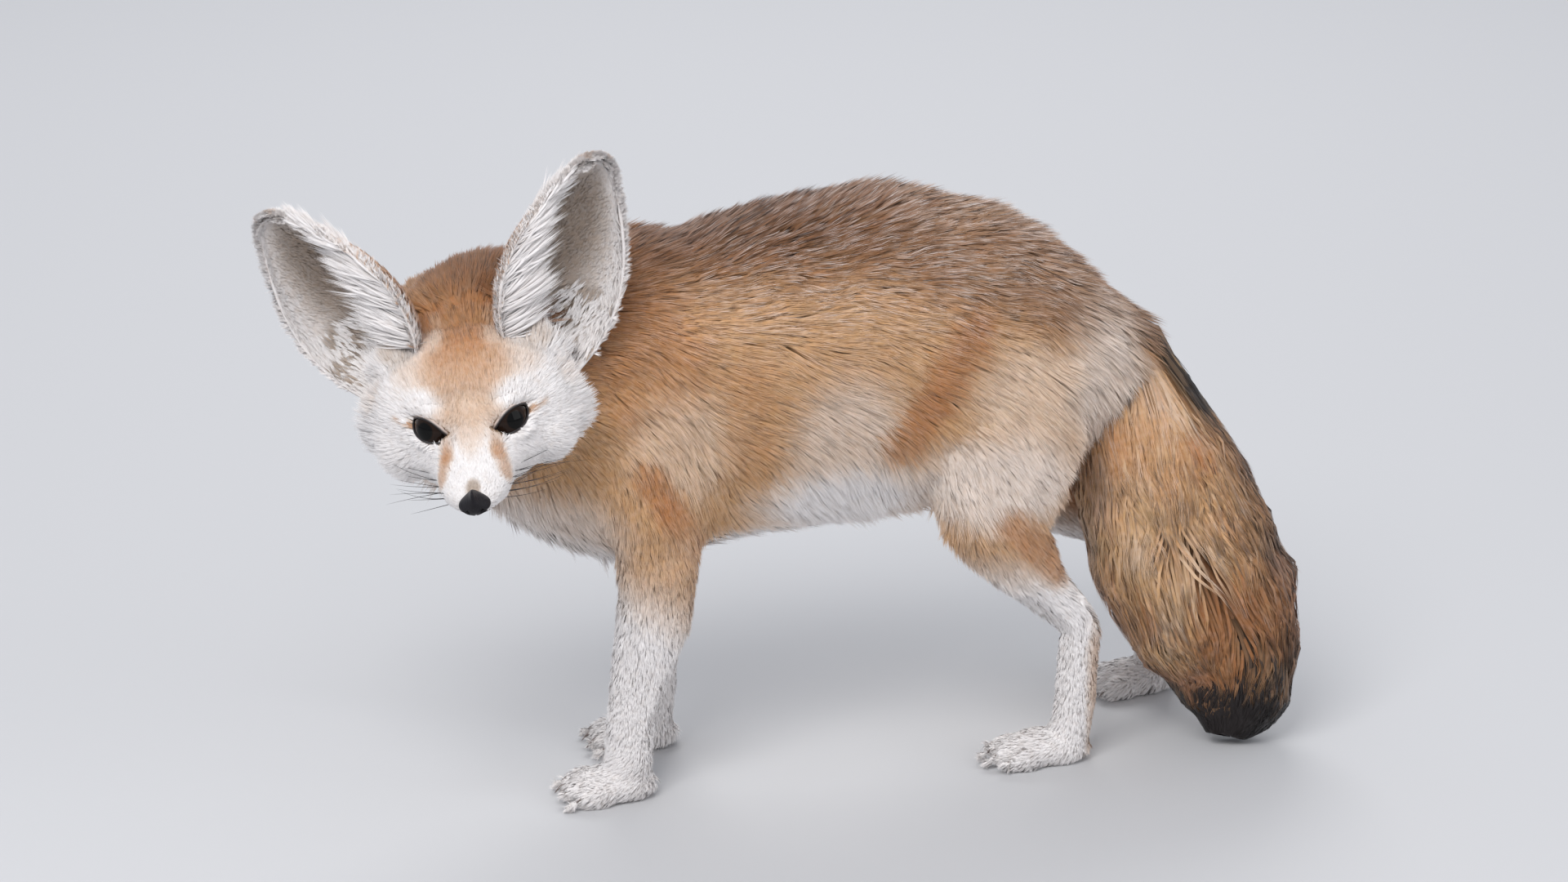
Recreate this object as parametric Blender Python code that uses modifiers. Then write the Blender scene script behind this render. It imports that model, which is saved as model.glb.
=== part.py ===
# Fennec fox, life size: it stands on four feet with its head turned to its left, and its tail hangs.
# The fox faces -X, its left side is -Y and +Z is up. Lengths are in millimetres until MM turns them to metres.
import math
import random

import bmesh
import bpy
import numpy as np
from mathutils import Matrix, Vector

MM = 0.001
GAP = 0.3

# Driving sizes of the animal, over the coat.
BACK_HEIGHT = 227.0
WITHERS_HEIGHT = 216.0
BELLY_HEIGHT = 95.0
TRUNK_HALF_WIDTH = 47.0
LEG_SPREAD = 33.0
HEAD_HALF_WIDTH = 41.0
TAIL_HALF_WIDTH = 39.0

# The head looks to the left of the body's line, down, and leans over.
HEAD_TURN = 75.0
HEAD_DOWN = 13.0
HEAD_LEAN = 8.0
EYES_MIDPOINT = Vector((-136.5, -69.6, 165.5))
EYE_RADIUS = 8.0
EYE_SPREAD = 15.6
LID_THICKNESS = 1.4
HEAD_REGION = Vector((50.0, 54.0, 52.0))

# Moves the whole animal so that its box stands centred on the origin.
CENTRE_SHIFT = Vector((2.5, 26.4, 0.0))

SKIN_VOXEL = 0.9
BODY_TRIANGLES = 3100


def clear_scene():
    for obj in list(bpy.data.objects):
        bpy.data.objects.remove(obj)


def new_collection(name):
    made = bpy.data.collections.new(name)
    bpy.context.scene.collection.children.link(made)
    return made


clear_scene()
FOX = new_collection("fennec_fox")
HELPERS = new_collection("helpers")


def material(name, colour, roughness):
    made = bpy.data.materials.new(name)
    made.use_nodes = True
    shader = made.node_tree.nodes["Principled BSDF"]
    shader.inputs["Base Color"].default_value = (*colour, 1.0)
    shader.inputs["Roughness"].default_value = roughness
    shader.inputs["Metallic"].default_value = 0.0
    return made


SAND = material("sand_fur", (0.56, 0.36, 0.19), 0.85)
WHITE = material("white_fur", (0.80, 0.76, 0.72), 0.85)
RUST = material("tail_fur", (0.50, 0.31, 0.15), 0.85)
DARK_EYE = material("eye", (0.02, 0.012, 0.008), 0.08)
NOSE_SKIN = material("nose_skin", (0.03, 0.022, 0.024), 0.35)


def add_object(name, mesh, collection=None):
    obj = bpy.data.objects.new(name, mesh)
    (collection or HELPERS).objects.link(obj)
    return obj


def object_of(name, bm):
    """An object of the mesh, with its faces pointing out."""
    bmesh.ops.recalc_face_normals(bm, faces=bm.faces)
    if bm.calc_volume(signed=True) < 0:
        bmesh.ops.reverse_faces(bm, faces=bm.faces)
    mesh = bpy.data.meshes.new(name)
    bm.to_mesh(mesh)
    bm.free()
    return add_object(name, mesh)


def smooth_rows(rows, count):
    """Rows of sizes read at even steps along a smooth curve through them."""
    rows = np.array(rows, float)
    ends = np.vstack([2 * rows[0] - rows[1], rows, 2 * rows[-1] - rows[-2]])
    read = []
    for t in np.linspace(0, len(rows) - 1, count):
        i = min(int(t), len(rows) - 2)
        u = t - i
        a, b, c, d = ends[i : i + 4]
        read.append(
            0.5 * (2 * b + (c - a) * u + (2 * a - 5 * b + 4 * c - d) * u**2 + (3 * b - a - 3 * c + d) * u**3)
        )
    return np.array(read)


def unit(v):
    return v / np.linalg.norm(v, axis=-1, keepdims=True)


def round_power(value, power):
    return math.copysign(abs(value) ** (2 / power), value)


def tube(name, rows, front, count=24, sides=24, power=2.0, frame=None, level=False):
    """A closed loft. Each row holds a centre, the half width, and the reach to the front and to the back of it.
    Its rings stand square to the line of centres, or lie level."""
    read = smooth_rows(rows, count)
    centres, sizes = read[:, :3], read[:, 3:]
    along = unit(np.gradient(centres, axis=0))
    if level:
        along = np.tile((0.0, 0.0, -1.0), (count, 1))
    ahead = np.array(front, float) - along * (along @ np.array(front, float))[:, None]
    ahead = unit(ahead)
    beside = np.cross(along, ahead)
    bm = bmesh.new()
    rings = []
    for centre, (wide, fore, aft), a, b in zip(centres, sizes, ahead, beside):
        ring = []
        for k in range(sides):
            turn = 2 * math.pi * k / sides
            c, s = round_power(math.cos(turn), power), round_power(math.sin(turn), power)
            point = centre + b * wide * c + a * (fore if s > 0 else aft) * s
            ring.append(bm.verts.new(point * MM))
        rings.append(ring)
    for low, high in zip(rings, rings[1:]):
        for k in range(sides):
            bm.faces.new((low[k], low[(k + 1) % sides], high[(k + 1) % sides], high[k]))
    bm.faces.new(rings[0])
    bm.faces.new(rings[-1])
    obj = object_of(name, bm)
    if frame is not None:
        obj.data.transform(frame)
    return obj


def ellipsoid(name, centre, radii, turn=(0, 0, 0), segments=20, rings=12, frame=None):
    """A ball stretched to three radii, turned by degrees about X, Y and Z."""
    bm = bmesh.new()
    bmesh.ops.create_uvsphere(bm, u_segments=segments, v_segments=rings, radius=1.0)
    turned = Matrix.Identity(4)
    for degrees, axis in zip(turn, "XYZ"):
        turned = Matrix.Rotation(math.radians(degrees), 4, axis) @ turned
    place = Matrix.Translation(Vector(centre) * MM) @ turned @ Matrix.Diagonal((*(Vector(radii) * MM), 1.0))
    bm.transform(place)
    if frame is not None:
        bm.transform(frame)
    return object_of(name, bm)


def box(name, low, high, frame=None):
    """A cutter box from its lowest to its highest corner."""
    bm = bmesh.new()
    bmesh.ops.create_cube(bm, size=1.0)
    low, high = Vector(low) * MM, Vector(high) * MM
    bm.transform(Matrix.Translation((low + high) / 2) @ Matrix.Diagonal((*(high - low), 1.0)))
    if frame is not None:
        bm.transform(frame)
    obj = object_of(name, bm)
    obj.hide_render = True
    obj.display_type = "WIRE"
    return obj


def remove(*objects):
    for obj in objects:
        bpy.data.objects.remove(obj)


def bake(obj):
    """Puts the mesh that the modifiers make in the place of the object's own."""
    graph = bpy.context.evaluated_depsgraph_get()
    made = bpy.data.meshes.new_from_object(obj.evaluated_get(graph))
    obj.modifiers.clear()
    obj.data = made
    return obj


def copy_of(obj, name):
    return add_object(name, obj.data.copy())


def combine(obj, others, operation, solver="EXACT"):
    """One Boolean on a collection of closed meshes, applied, with the collection's objects then removed."""
    group = bpy.data.collections.new("operands")
    for other in others:
        group.objects.link(other)
    change = obj.modifiers.new("combine", "BOOLEAN")
    change.operation = operation
    change.solver = solver
    change.operand_type = "COLLECTION"
    change.collection = group
    bpy.context.view_layer.update()
    bake(obj)
    remove(*others)
    bpy.data.collections.remove(group)
    return obj


def surfaces_of(bm):
    """The faces of each connected surface."""
    left, found = set(bm.faces), []
    while left:
        start = left.pop()
        surface, edge = {start}, [start]
        while edge:
            for e in edge.pop().edges:
                for face in e.link_faces:
                    if face in left:
                        left.discard(face)
                        surface.add(face)
                        edge.append(face)
        found.append(surface)
    return found


def volume_of(faces):
    total = 0.0
    for face in faces:
        first = face.verts[0].co
        for a, b in zip(face.verts[1:], face.verts[2:]):
            total += first.dot(a.co.cross(b.co)) / 6
    return total


def keep_largest(obj):
    """Drops every closed surface but the one that holds most."""
    bm = bmesh.new()
    bm.from_mesh(obj.data)
    found = sorted(surfaces_of(bm), key=volume_of)
    extra = [face for surface in found[:-1] for face in surface]
    bmesh.ops.delete(bm, geom=extra, context="FACES")
    loose = [v for v in bm.verts if not v.link_faces]
    bmesh.ops.delete(bm, geom=loose, context="VERTS")
    bm.to_mesh(obj.data)
    bm.free()
    return obj


def fuse(name, pieces, voxel, smoothing):
    """Closed lofts that overlap, made one smooth surface."""
    bm = bmesh.new()
    for piece in pieces:
        bm.from_mesh(piece.data)
    obj = object_of(name, bm)
    whole = obj.modifiers.new("whole", "REMESH")
    whole.mode = "VOXEL"
    whole.voxel_size = voxel * MM
    soft = obj.modifiers.new("soft", "SMOOTH")
    soft.factor = 0.5
    soft.iterations = smoothing
    return bake(obj)


def thin_out(obj, triangles, freedom):
    """Fewer triangles, spent where the freedom to lose them, a function of place in millimetres, is low."""
    group = obj.vertex_groups.new(name="freedom")
    for vertex in obj.data.vertices:
        group.add([vertex.index], freedom(vertex.co / MM), "REPLACE")
    fewer = obj.modifiers.new("fewer", "DECIMATE")
    fewer.ratio = triangles / (2 * len(obj.data.polygons))
    fewer.vertex_group = "freedom"
    fewer.vertex_group_factor = 1.0
    bake(obj)
    obj.vertex_groups.clear()
    return obj


def inflated(obj, name, distance=GAP):
    """A copy pushed out along its normals, to cut its neighbours clear of it."""
    made = copy_of(obj, name)
    normals = [vertex.normal.copy() for vertex in made.data.vertices]
    for vertex, normal in zip(made.data.vertices, normals):
        vertex.co += normal * distance * MM
    return made


def part_off(whole, name, shape):
    """Takes what lies inside shape(0) as a node of its own and leaves the gap round it."""
    piece = copy_of(whole, name)
    combine(piece, [shape(0.0)], "INTERSECT")
    combine(whole, [shape(GAP)], "DIFFERENCE")
    return keep_largest(piece)


def head_frame():
    """Forward, left and up of the head as the columns of a matrix, with its origin midway between the eyes."""
    turn, down, lean = (math.radians(a) for a in (HEAD_TURN, HEAD_DOWN, HEAD_LEAN))
    forward = Vector((-math.cos(turn) * math.cos(down), -math.sin(turn) * math.cos(down), -math.sin(down)))
    level_left = Vector((0, 0, 1)).cross(forward).normalized()
    level_up = forward.cross(level_left)
    left = level_left * math.cos(lean) + level_up * math.sin(lean)
    up = level_up * math.cos(lean) - level_left * math.sin(lean)
    frame = Matrix((forward, left, up)).transposed().to_4x4()
    frame.translation = EYES_MIDPOINT * MM
    return frame


HEAD = head_frame()


def trunk_lofts():
    """Rows run from rump to chest: centre x, y, z, half width, reach up, reach down."""
    w, belly = TRUNK_HALF_WIDTH, BELLY_HEIGHT
    mid = 160.0
    trunk = [
        (146, 0, 146, 8, 8, 10),
        (141, 0, 148, 21, 17, 22),
        (127, 0, 151, 33, 29, 36),
        (105, 0, 155, w - 6, 43, 48),
        (75, 0, mid, w - 1, 58, mid - belly - 9),
        (40, 0, mid, w + 1, BACK_HEIGHT - mid, mid - belly),
        (0, 0, 158, w + 1, 66, 158 - belly + 3),
        (-35, 0, 154, w - 1, WITHERS_HEIGHT - 154, 66),
        (-68, 0, 149, w - 4, 61, 67),
        (-92, -3, 141, 38, 55, 55),
        (-110, -8, 136, 29, 42, 39),
        (-122, -12, 133, 13, 18, 18),
    ]
    neck = [
        (-25, 0, 170, 36, 42, 44),
        (-62, 0, 172, 41, 45, 48),
        (-92, -2, 171, 41, 44, 48),
        (-116, -12, 170, 41, 44, 46),
        (-128, -32, 167, 38, 37, 40),
        (-131, -52, 163, 27, 24, 26),
    ]
    tail_root = [
        (116, 0, 170, 20, 16, 22),
        (130, -1, 159, 23, 18, 25),
        (138, -3, 144, 25, 18, 26),
        (143, -5, 126, 22, 16, 24),
    ]
    return [
        tube("trunk", trunk, (0, 0, 1), count=40, sides=32, power=2.1),
        tube("neck_loft", neck, (0, 0, 1), count=24, sides=28),
        tube("tail_root", tail_root, (1, 0, 0.6), count=12, sides=20),
        ellipsoid("nape", (-130, 4, 177), (25, 26, 27)),
    ]


def leg_rows():
    """Rows run down each leg: centre x, y, z, half width, reach forward, reach back. The left side is nearer -Y."""
    s = LEG_SPREAD
    return {
        "left_hind": [
            (98, -18, 182, 10, 14, 14),
            (90, -24, 165, 20, 30, 28),
            (83, -30, 142, 22, 37, 30),
            (76, -s - 1, 120, 20, 33, 30),
            (74, -s - 3, 101, 17, 23, 24),
            (83, -s - 3, 83, 12.5, 14, 17),
            (96, -s - 2, 68, 9, 9.5, 11),
            (107, -s - 1, 56, 8, 8, 10),
            (108, -s - 1, 40, 7.2, 8.5, 9),
            (107, -s - 1, 24, 7.2, 8, 9),
            (105, -s - 1, 12, 8, 8, 9),
            (103, -s - 1, 5, 8.5, 8, 8),
        ],
        "right_hind": [
            (102, 18, 182, 10, 14, 14),
            (96, 24, 165, 20, 30, 26),
            (92, 30, 142, 22, 36, 28),
            (92, s + 1, 120, 20, 32, 26),
            (98, s + 3, 100, 17, 24, 24),
            (118, s + 3, 85, 12.5, 15, 16),
            (141, s + 2, 72, 9, 10, 10),
            (158, s + 2, 60, 8, 8, 9.5),
            (162, s + 2, 44, 7.2, 8, 8.5),
            (163, s + 2, 26, 7.2, 8, 8.5),
            (163, s + 2, 13, 8, 8, 8.5),
            (162, s + 2, 5, 8.5, 8, 8),
        ],
        "left_fore": [
            (-50, -16, 172, 12, 16, 16),
            (-60, -24, 152, 18, 27, 26),
            (-60, -29, 128, 18, 28, 26),
            (-58, -s + 3, 106, 16, 21, 20),
            (-58, -s + 3, 88, 13.5, 16, 17),
            (-60, -s + 3, 68, 11.5, 14.5, 15.5),
            (-64, -s + 3, 48, 10, 12.5, 11.5),
            (-68, -s + 3, 30, 9, 10, 9.5),
            (-69, -s + 3, 17, 9.5, 10, 9.5),
            (-70, -s + 3, 7, 9.5, 9, 9),
        ],
        "right_fore": [
            (-44, 16, 172, 12, 16, 16),
            (-52, 24, 152, 18, 27, 26),
            (-50, 28, 128, 18, 27, 25),
            (-46, s - 5, 106, 15, 20, 19),
            (-45, s - 6, 88, 13, 15, 16),
            (-44, s - 7, 68, 11.5, 13, 14),
            (-44, s - 8, 48, 10, 11, 11),
            (-46, s - 9, 30, 9, 9.5, 9.5),
            (-47, s - 9, 17, 9.5, 9.5, 9.5),
            (-48, s - 9, 7, 9.5, 9, 9),
        ],
    }


# Each foot: the x of its heel and of its toes, its y and its half width.
FEET = {
    "left_hind": (114, 76, -LEG_SPREAD - 1, 11.5),
    "right_hind": (172, 137, LEG_SPREAD + 2, 11.5),
    "left_fore": (-58, -93, -LEG_SPREAD + 3, 12.5),
    "right_fore": (-36, -70, LEG_SPREAD - 9, 12.5),
}
TOES = (-1.5, -0.5, 0.5, 1.5)


def toe_place(foot, k):
    """Where a toe's middle is on the floor plan, and the way it points, in degrees."""
    heel, toe, y, half_width = FEET[foot]
    reach = 3.2 if abs(k) < 1 else 0.0
    return toe + 9.5 - reach, y + k * half_width * 0.56, -7 * k


def paw_lofts(foot):
    heel, toe, y, half_width = FEET[foot]
    length = heel - toe
    pad = ellipsoid("pad", (toe + 0.52 * length, y, 5.5), (0.50 * length, half_width * 0.92, 8.5))
    pieces = [pad]
    for k in TOES:
        x, across, turn = toe_place(foot, k)
        pieces.append(ellipsoid("toe", (x, across, 4.4), (9.0, half_width * 0.30, 6.0), turn=(0, 0, turn)))
    return pieces


def leg_lofts():
    lofts = []
    for name, rows in leg_rows().items():
        lofts.append(tube(name, rows, (-1, 0, 0), count=44, sides=20))
        lofts += paw_lofts(name)
    return lofts


def head_lofts():
    """The head in its own frame: forward, left and up from the point midway between the eyes."""
    w = HEAD_HALF_WIDTH
    skull = [
        (-60, 0, -8, 10, 10, 10),
        (-54, 0, -8, 24, 22, 18),
        (-42, 0, -9, 34, 30, 24),
        (-30, 0, -10, w - 2, 34, 26),
        (-18, 0, -11, w, 34, 24),
        (-8, 0, -12, 35, 29, 21),
        (0, 0, -13, 26, 24, 16),
        (7, 0, -13, 19, 17, 13),
        (14, 0, -13.5, 15.5, 12, 11),
        (22, 0, -14, 13.6, 8.6, 9.6),
        (29, 0, -14.5, 12, 7, 8.2),
        (34, 0, -15, 10, 6.2, 7),
        (38, 0, -15, 5, 3.6, 4.4),
    ]
    jaw = [
        (-12, 0, -24, 16, 9, 8),
        (4, 0, -22.5, 12, 7, 5.5),
        (18, 0, -21.5, 9.5, 5, 4.2),
        (29, 0, -20.5, 6.5, 3.5, 3.4),
        (33, 0, -20, 3, 2, 2),
    ]
    lofts = [
        tube("skull", skull, (0, 0, 1), count=48, sides=32, frame=HEAD),
        tube("jaw", jaw, (0, 0, 1), count=16, sides=16, frame=HEAD),
    ]
    for side in (-1, 1):
        lofts.append(ellipsoid("cheek", (-17, side * 21, -13), (19, 20, 17), turn=(0, 0, side * 24), frame=HEAD))
        lofts.append(ellipsoid("brow", (-5, side * 13.5, 6.5), (9, 9, 5.5), turn=(0, 12, side * 20), frame=HEAD))
        lofts.append(ellipsoid("ear_root", (-33, side * 24, 8), (12, 15, 13), turn=(side * -30, 0, 0), frame=HEAD))
    return lofts


def eye_axes(side):
    """The eyeball's centre, and the ways out of, along and across the slit, in the head's frame."""
    out = Vector((0.80, side * 0.52, 0.28)).normalized()
    along = Vector((0.0, side * 0.93, 0.37))
    along = (along - out * along.dot(out)).normalized()
    across = out.cross(along) * side
    surface = Vector((5.0, side * EYE_SPREAD, 1.4))
    return surface - out * (EYE_RADIUS - 0.2), out, along, across


def ball(name, centre, radius, segments=20, rings=11, frame=None):
    return ellipsoid(name, centre, (radius, radius, radius), segments=segments, rings=rings, frame=frame)


SLIT_HALF_LENGTH = 47.0
SLIT_HALF_HEIGHT = 23.0
ORBIT_DEPTH = 2.4
ORBIT_REACH = 13.0
LID_REACH = 14.0


def press_orbits(obj):
    """Sinks the skin round each eye, so that the lids stand in a shallow orbit."""
    for side in (-1, 1):
        centre, out, along, across = eye_axes(side)
        middle = HEAD @ ((centre + out * EYE_RADIUS) * MM)
        way = HEAD.to_3x3() @ out
        for vertex in obj.data.vertices:
            away = (vertex.co - middle).length / (ORBIT_REACH * MM)
            if away < 1:
                vertex.co -= way * ORBIT_DEPTH * MM * (1 - away * away) ** 2


def slit_cutter(side):
    """A cone from the eyeball's centre out through the almond between the lids, whose size is in degrees."""
    centre, out, along, across = eye_axes(side)
    bm = bmesh.new()
    steps = 20
    rim = []
    for k in range(steps):
        c, s = math.cos(2 * math.pi * k / steps), math.sin(2 * math.pi * k / steps)
        long_way = math.tan(math.radians(SLIT_HALF_LENGTH)) * c
        high_way = math.tan(math.radians(SLIT_HALF_HEIGHT)) * s * (1 - 0.3 * c * c)
        way = out + along * long_way + across * high_way
        rim.append(bm.verts.new((centre + way * EYE_RADIUS * 1.6) * MM))
    inner = bm.verts.new(centre * MM)
    for k in range(steps):
        bm.faces.new((rim[k], rim[(k + 1) % steps], inner))
    bm.faces.new(rim)
    bm.transform(HEAD)
    return object_of("slit", bm)


def mouth_cutter(head):
    """A thin tube laid on the muzzle along the line of the mouth, to cut a groove."""
    half = [(35, 0, -17.6), (34.5, 4, -19.0), (31, 8.5, -19.6), (25, 11.5, -19.8), (18, 13.5, -19.4), (11, 15.5, -18.2)]
    line = [(x, -y, z) for x, y, z in reversed(half[1:])] + half
    points = smooth_rows(line, 16)
    inverse = head.matrix_world.inverted()
    rows = []
    for point in points:
        place = HEAD @ (Vector(point) * MM)
        found, spot, normal, index = head.closest_point_on_mesh(inverse @ place)
        rows.append((*(spot / MM), 0.75, 0.75, 0.75))
    return tube("mouth", rows, (0, 0, 1), count=16, sides=4)


NOSE_CENTRE = Vector((36.6, 0.0, -12.6))
NOSE_RADII = Vector((4.6, 5.6, 4.4))


def nose_pad(grown):
    radii = NOSE_RADII + Vector((grown, grown, grown))
    return ellipsoid("nose", NOSE_CENTRE, radii, turn=(0, 14, 0), segments=14, rings=8, frame=HEAD)


def nostrils():
    holes = []
    for side in (-1, 1):
        place = NOSE_CENTRE + Vector((3.6, side * 2.7, -0.4))
        holes.append(ellipsoid("nostril", place, (2.6, 0.9, 1.3), (side * 25, 0, side * 28), 8, 6, HEAD))
    return holes


# The ear up its length: distance up, outer edge, inner edge, depth of the cup, backward bend.
EAR_ROWS = [
    (-16, -14, 15, 12, 2),
    (-5, -20, 21, 15, 1),
    (8, -23, 26, 17, 0),
    (24, -23.5, 26, 16, -1),
    (40, -21, 23.5, 13, -2),
    (54, -15.5, 18, 9.5, -3),
    (65, -9.5, 12.5, 6, -4),
    (73, -5, 7, 3.2, -5),
    (77, -1.5, 2.2, 1.0, -5.4),
]
EAR_SPLAY = {1: 26.0, -1: 33.0}
EAR_STRETCH = {1: 1.0, -1: 0.95}
EAR_ROOT = Vector((-30.0, 27.0, 10.0))
EAR_THICKNESS = 2.2
EAR_STEPS = 8


def ear_frame(side):
    """The ear's own frame: inward across it, forward out of its cup and up it."""
    splay = math.radians(EAR_SPLAY[side])
    up = Vector((-0.10, side * math.sin(splay), math.cos(splay))).normalized()
    ahead = Vector((0.93, side * 0.36, 0.0))
    ahead = (ahead - up * ahead.dot(up)).normalized()
    inward = up.cross(ahead) * -side
    frame = Matrix((inward, ahead, up * EAR_STRETCH[side])).transposed().to_4x4()
    frame.translation = Vector((EAR_ROOT.x, side * EAR_ROOT.y, EAR_ROOT.z)) * MM
    return HEAD @ frame


def ear_shell(name, side):
    """The cup of an ear: a sheet curved in a half ellipse, made thick."""
    read = smooth_rows(EAR_ROWS, 13)
    bm = bmesh.new()
    rows = []
    steps = EAR_STEPS
    for up, outer, inner, depth, bend in read:
        middle, half = (inner + outer) / 2, (inner - outer) / 2
        row = []
        for k in range(steps + 1):
            turn = math.pi * (1 - k / steps)
            across = middle + half * math.cos(turn)
            row.append(bm.verts.new(Vector((across, bend - depth * math.sin(turn) ** 0.8, up)) * MM))
        rows.append(row)
    for low, high in zip(rows, rows[1:]):
        for k in range(steps):
            a, b, c, d = low[k], low[k + 1], high[k + 1], high[k]
            bm.faces.new((a, b, c))
            bm.faces.new((a, c, d))
    bm.transform(ear_frame(side))
    mesh = bpy.data.meshes.new(name)
    bm.to_mesh(mesh)
    bm.free()
    obj = add_object(name, mesh)
    thick = obj.modifiers.new("thick", "SOLIDIFY")
    thick.thickness = EAR_THICKNESS * MM
    thick.offset = 0.0
    bake(obj)
    bm = bmesh.new()
    bm.from_mesh(obj.data)
    bmesh.ops.triangulate(bm, faces=bm.faces)
    bmesh.ops.recalc_face_normals(bm, faces=bm.faces)
    bm.to_mesh(obj.data)
    bm.free()
    return obj


def lock(name, spine, outward, widths, thicknesses):
    """A flat tapered lock along a bent line of points, ridged on its outward side, from a closed root to a tip."""
    spine = np.array(spine, float)
    along = unit(np.gradient(spine, axis=0))
    bm = bmesh.new()
    rings = []
    for point, way, out, wide, thick in zip(spine[:-1], along, outward, widths, thicknesses):
        over = unit(out - way * (out @ way))
        side = np.cross(over, way)
        corners = (side * wide, over * thick, -side * wide)
        rings.append([bm.verts.new((point + corner) * MM) for corner in corners])
    for low, high in zip(rings, rings[1:]):
        for k in range(3):
            a, b, c, d = low[k], low[(k + 1) % 3], high[(k + 1) % 3], high[k]
            bm.faces.new((a, b, c))
            bm.faces.new((a, c, d))
    tip = bm.verts.new(spine[-1] * MM)
    for k in range(3):
        bm.faces.new((rings[-1][k], rings[-1][(k + 1) % 3], tip))
    bm.faces.new(rings[0])
    return object_of(name, bm)


EAR_HAIR = 8
EAR_HAIR_LENGTH = 27.0


def ear_hair(side):
    """Locks that spring from the inner edge of an ear and lie outward and up across its cup."""
    draw = random.Random(8 + side)
    rows = np.array(EAR_ROWS)
    locks = []
    for k in range(EAR_HAIR):
        share = k / (EAR_HAIR - 1)
        up = 11 + 40 * share
        inner, bend = (float(np.interp(up, rows[:, 0], rows[:, column])) for column in (2, 4))
        length = EAR_HAIR_LENGTH * (1 - 0.35 * share) * draw.uniform(0.9, 1.1)
        lean = math.radians(draw.uniform(20, 32))
        place = np.array((inner - 0.6, bend - 3.4, up))
        spine = [place]
        for step in range(3):
            ahead = 0.06 - 0.10 * step
            place = place + np.array((-math.cos(lean), ahead, math.sin(lean))) * length / 3
            lean += math.radians(12)
            spine.append(place)
        made = lock("ear_hair", spine, [np.array((0, 1, 0))] * 3, (1.6, 4.4, 3.2), (1.0, 1.2, 0.9))
        made.data.transform(ear_frame(side))
        locks.append(made)
    return locks


RUFF_ROWS = ((-8, 5, 18), (-17, 5, 21))
RUFF_SPREAD = (0.0, -88.0)


def cheek_ruff(head):
    """Locks that leave each cheek low and lie back and outward, from under the ear to below the jaw."""
    bpy.context.view_layer.update()
    draw = random.Random(3)
    turned = HEAD.to_3x3()
    locks = []
    for side in (-1, 1):
        for row, (ahead, count, length) in enumerate(RUFF_ROWS):
            for k in range(count):
                share = (k + 0.5 * (row % 2) + draw.uniform(-0.12, 0.12)) / (count - 0.5)
                angle = math.radians(RUFF_SPREAD[0] + (RUFF_SPREAD[1] - RUFF_SPREAD[0]) * share)
                radial = Vector((0, side * math.cos(angle), math.sin(angle)))
                start = Vector((ahead, 0, -12)) + radial * 70
                found, spot, normal, index = head.ray_cast(HEAD @ (start * MM), turned @ -radial)
                if not found:
                    continue
                spot = (HEAD.inverted() @ spot) / MM
                lie = Vector((-0.86, side * 0.24 * math.cos(angle), -0.26 + 0.22 * math.sin(angle))).normalized()
                length_here = length * draw.uniform(0.88, 1.12)
                spine = []
                for step, lift in ((-0.12, -3.4), (0.3, -0.3), (0.65, 0.9), (1.0, 1.3)):
                    spine.append(np.array(spot + lie * length_here * step + radial * lift))
                made = lock("ruff", spine, [np.array(radial)] * 3, (6.0, 6.8, 4.8), (2.4, 2.0, 1.6))
                made.data.transform(HEAD)
                locks.append(made)
    return locks


CLAW_LENGTH = 5.2


def claws(foot):
    """One claw to a toe, bent down to just above the floor."""
    made = []
    for k in TOES:
        x, across, turn = toe_place(foot, k)
        way = np.array((-math.cos(math.radians(turn)), -math.sin(math.radians(turn)), 0.0))
        root = np.array((x, across, 5.2)) + way * 6.0
        spine = [root, root + way * CLAW_LENGTH * 0.5 + (0, 0, -0.8), root + way * CLAW_LENGTH + (0, 0, -3.2)]
        made.append(lock("claw", spine, [np.array((0.0, 0.0, 1.0))] * 2, (0.9, 0.8), (1.8, 1.6)))
    return made


def tail_rows():
    """Centre and half widths of the whole brush over its hair, from root to tip."""
    w = TAIL_HALF_WIDTH
    return [
        (136, -2, 162, 18, 14, 20),
        (140, -5, 142, 26, 19, 27),
        (145, -9, 118, 33, 29, 33),
        (151, -14, 94, w - 1, 36, 36),
        (158, -19, 70, w, 38, 37),
        (168, -24, 47, 35, 34, 33),
        (173, -29, 29, 27, 27, 27),
        (172, -33, 14, 16, 20, 20),
        (169, -35, 4, 5, 8, 8),
    ]


TAIL_CORE = 0.48
TAIL_FRONT = (1, 0, 0.3)
LOCK_ROWS = 9
LOCK_WIDTH = 25.0
LOCK_RUN = 0.30
LOCK_FLOOR = 2.2


class Brush:
    """Places on the tail: how far down it from 0 to 1, the angle round it, and the share of its full reach."""

    def __init__(self):
        self.steps = np.linspace(0, 1, 160)
        read = smooth_rows(tail_rows(), 160)
        self.centres, self.sizes = read[:, :3], read[:, 3:]
        along = unit(np.gradient(self.centres, axis=0))
        ahead = np.array(TAIL_FRONT, float)
        self.ahead = unit(ahead - along * (along @ ahead)[:, None])
        self.beside = np.cross(along, self.ahead)

    def read(self, table, down):
        return np.array([np.interp(down, self.steps, column) for column in table.T])

    def point(self, down, angle, reach):
        centre, ahead, beside = (self.read(t, down) for t in (self.centres, self.ahead, self.beside))
        wide, fore, aft = self.read(self.sizes, down)
        c, s = math.cos(angle), math.sin(angle)
        return centre + (beside * wide * c + ahead * (fore if s > 0 else aft) * s) * reach


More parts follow.
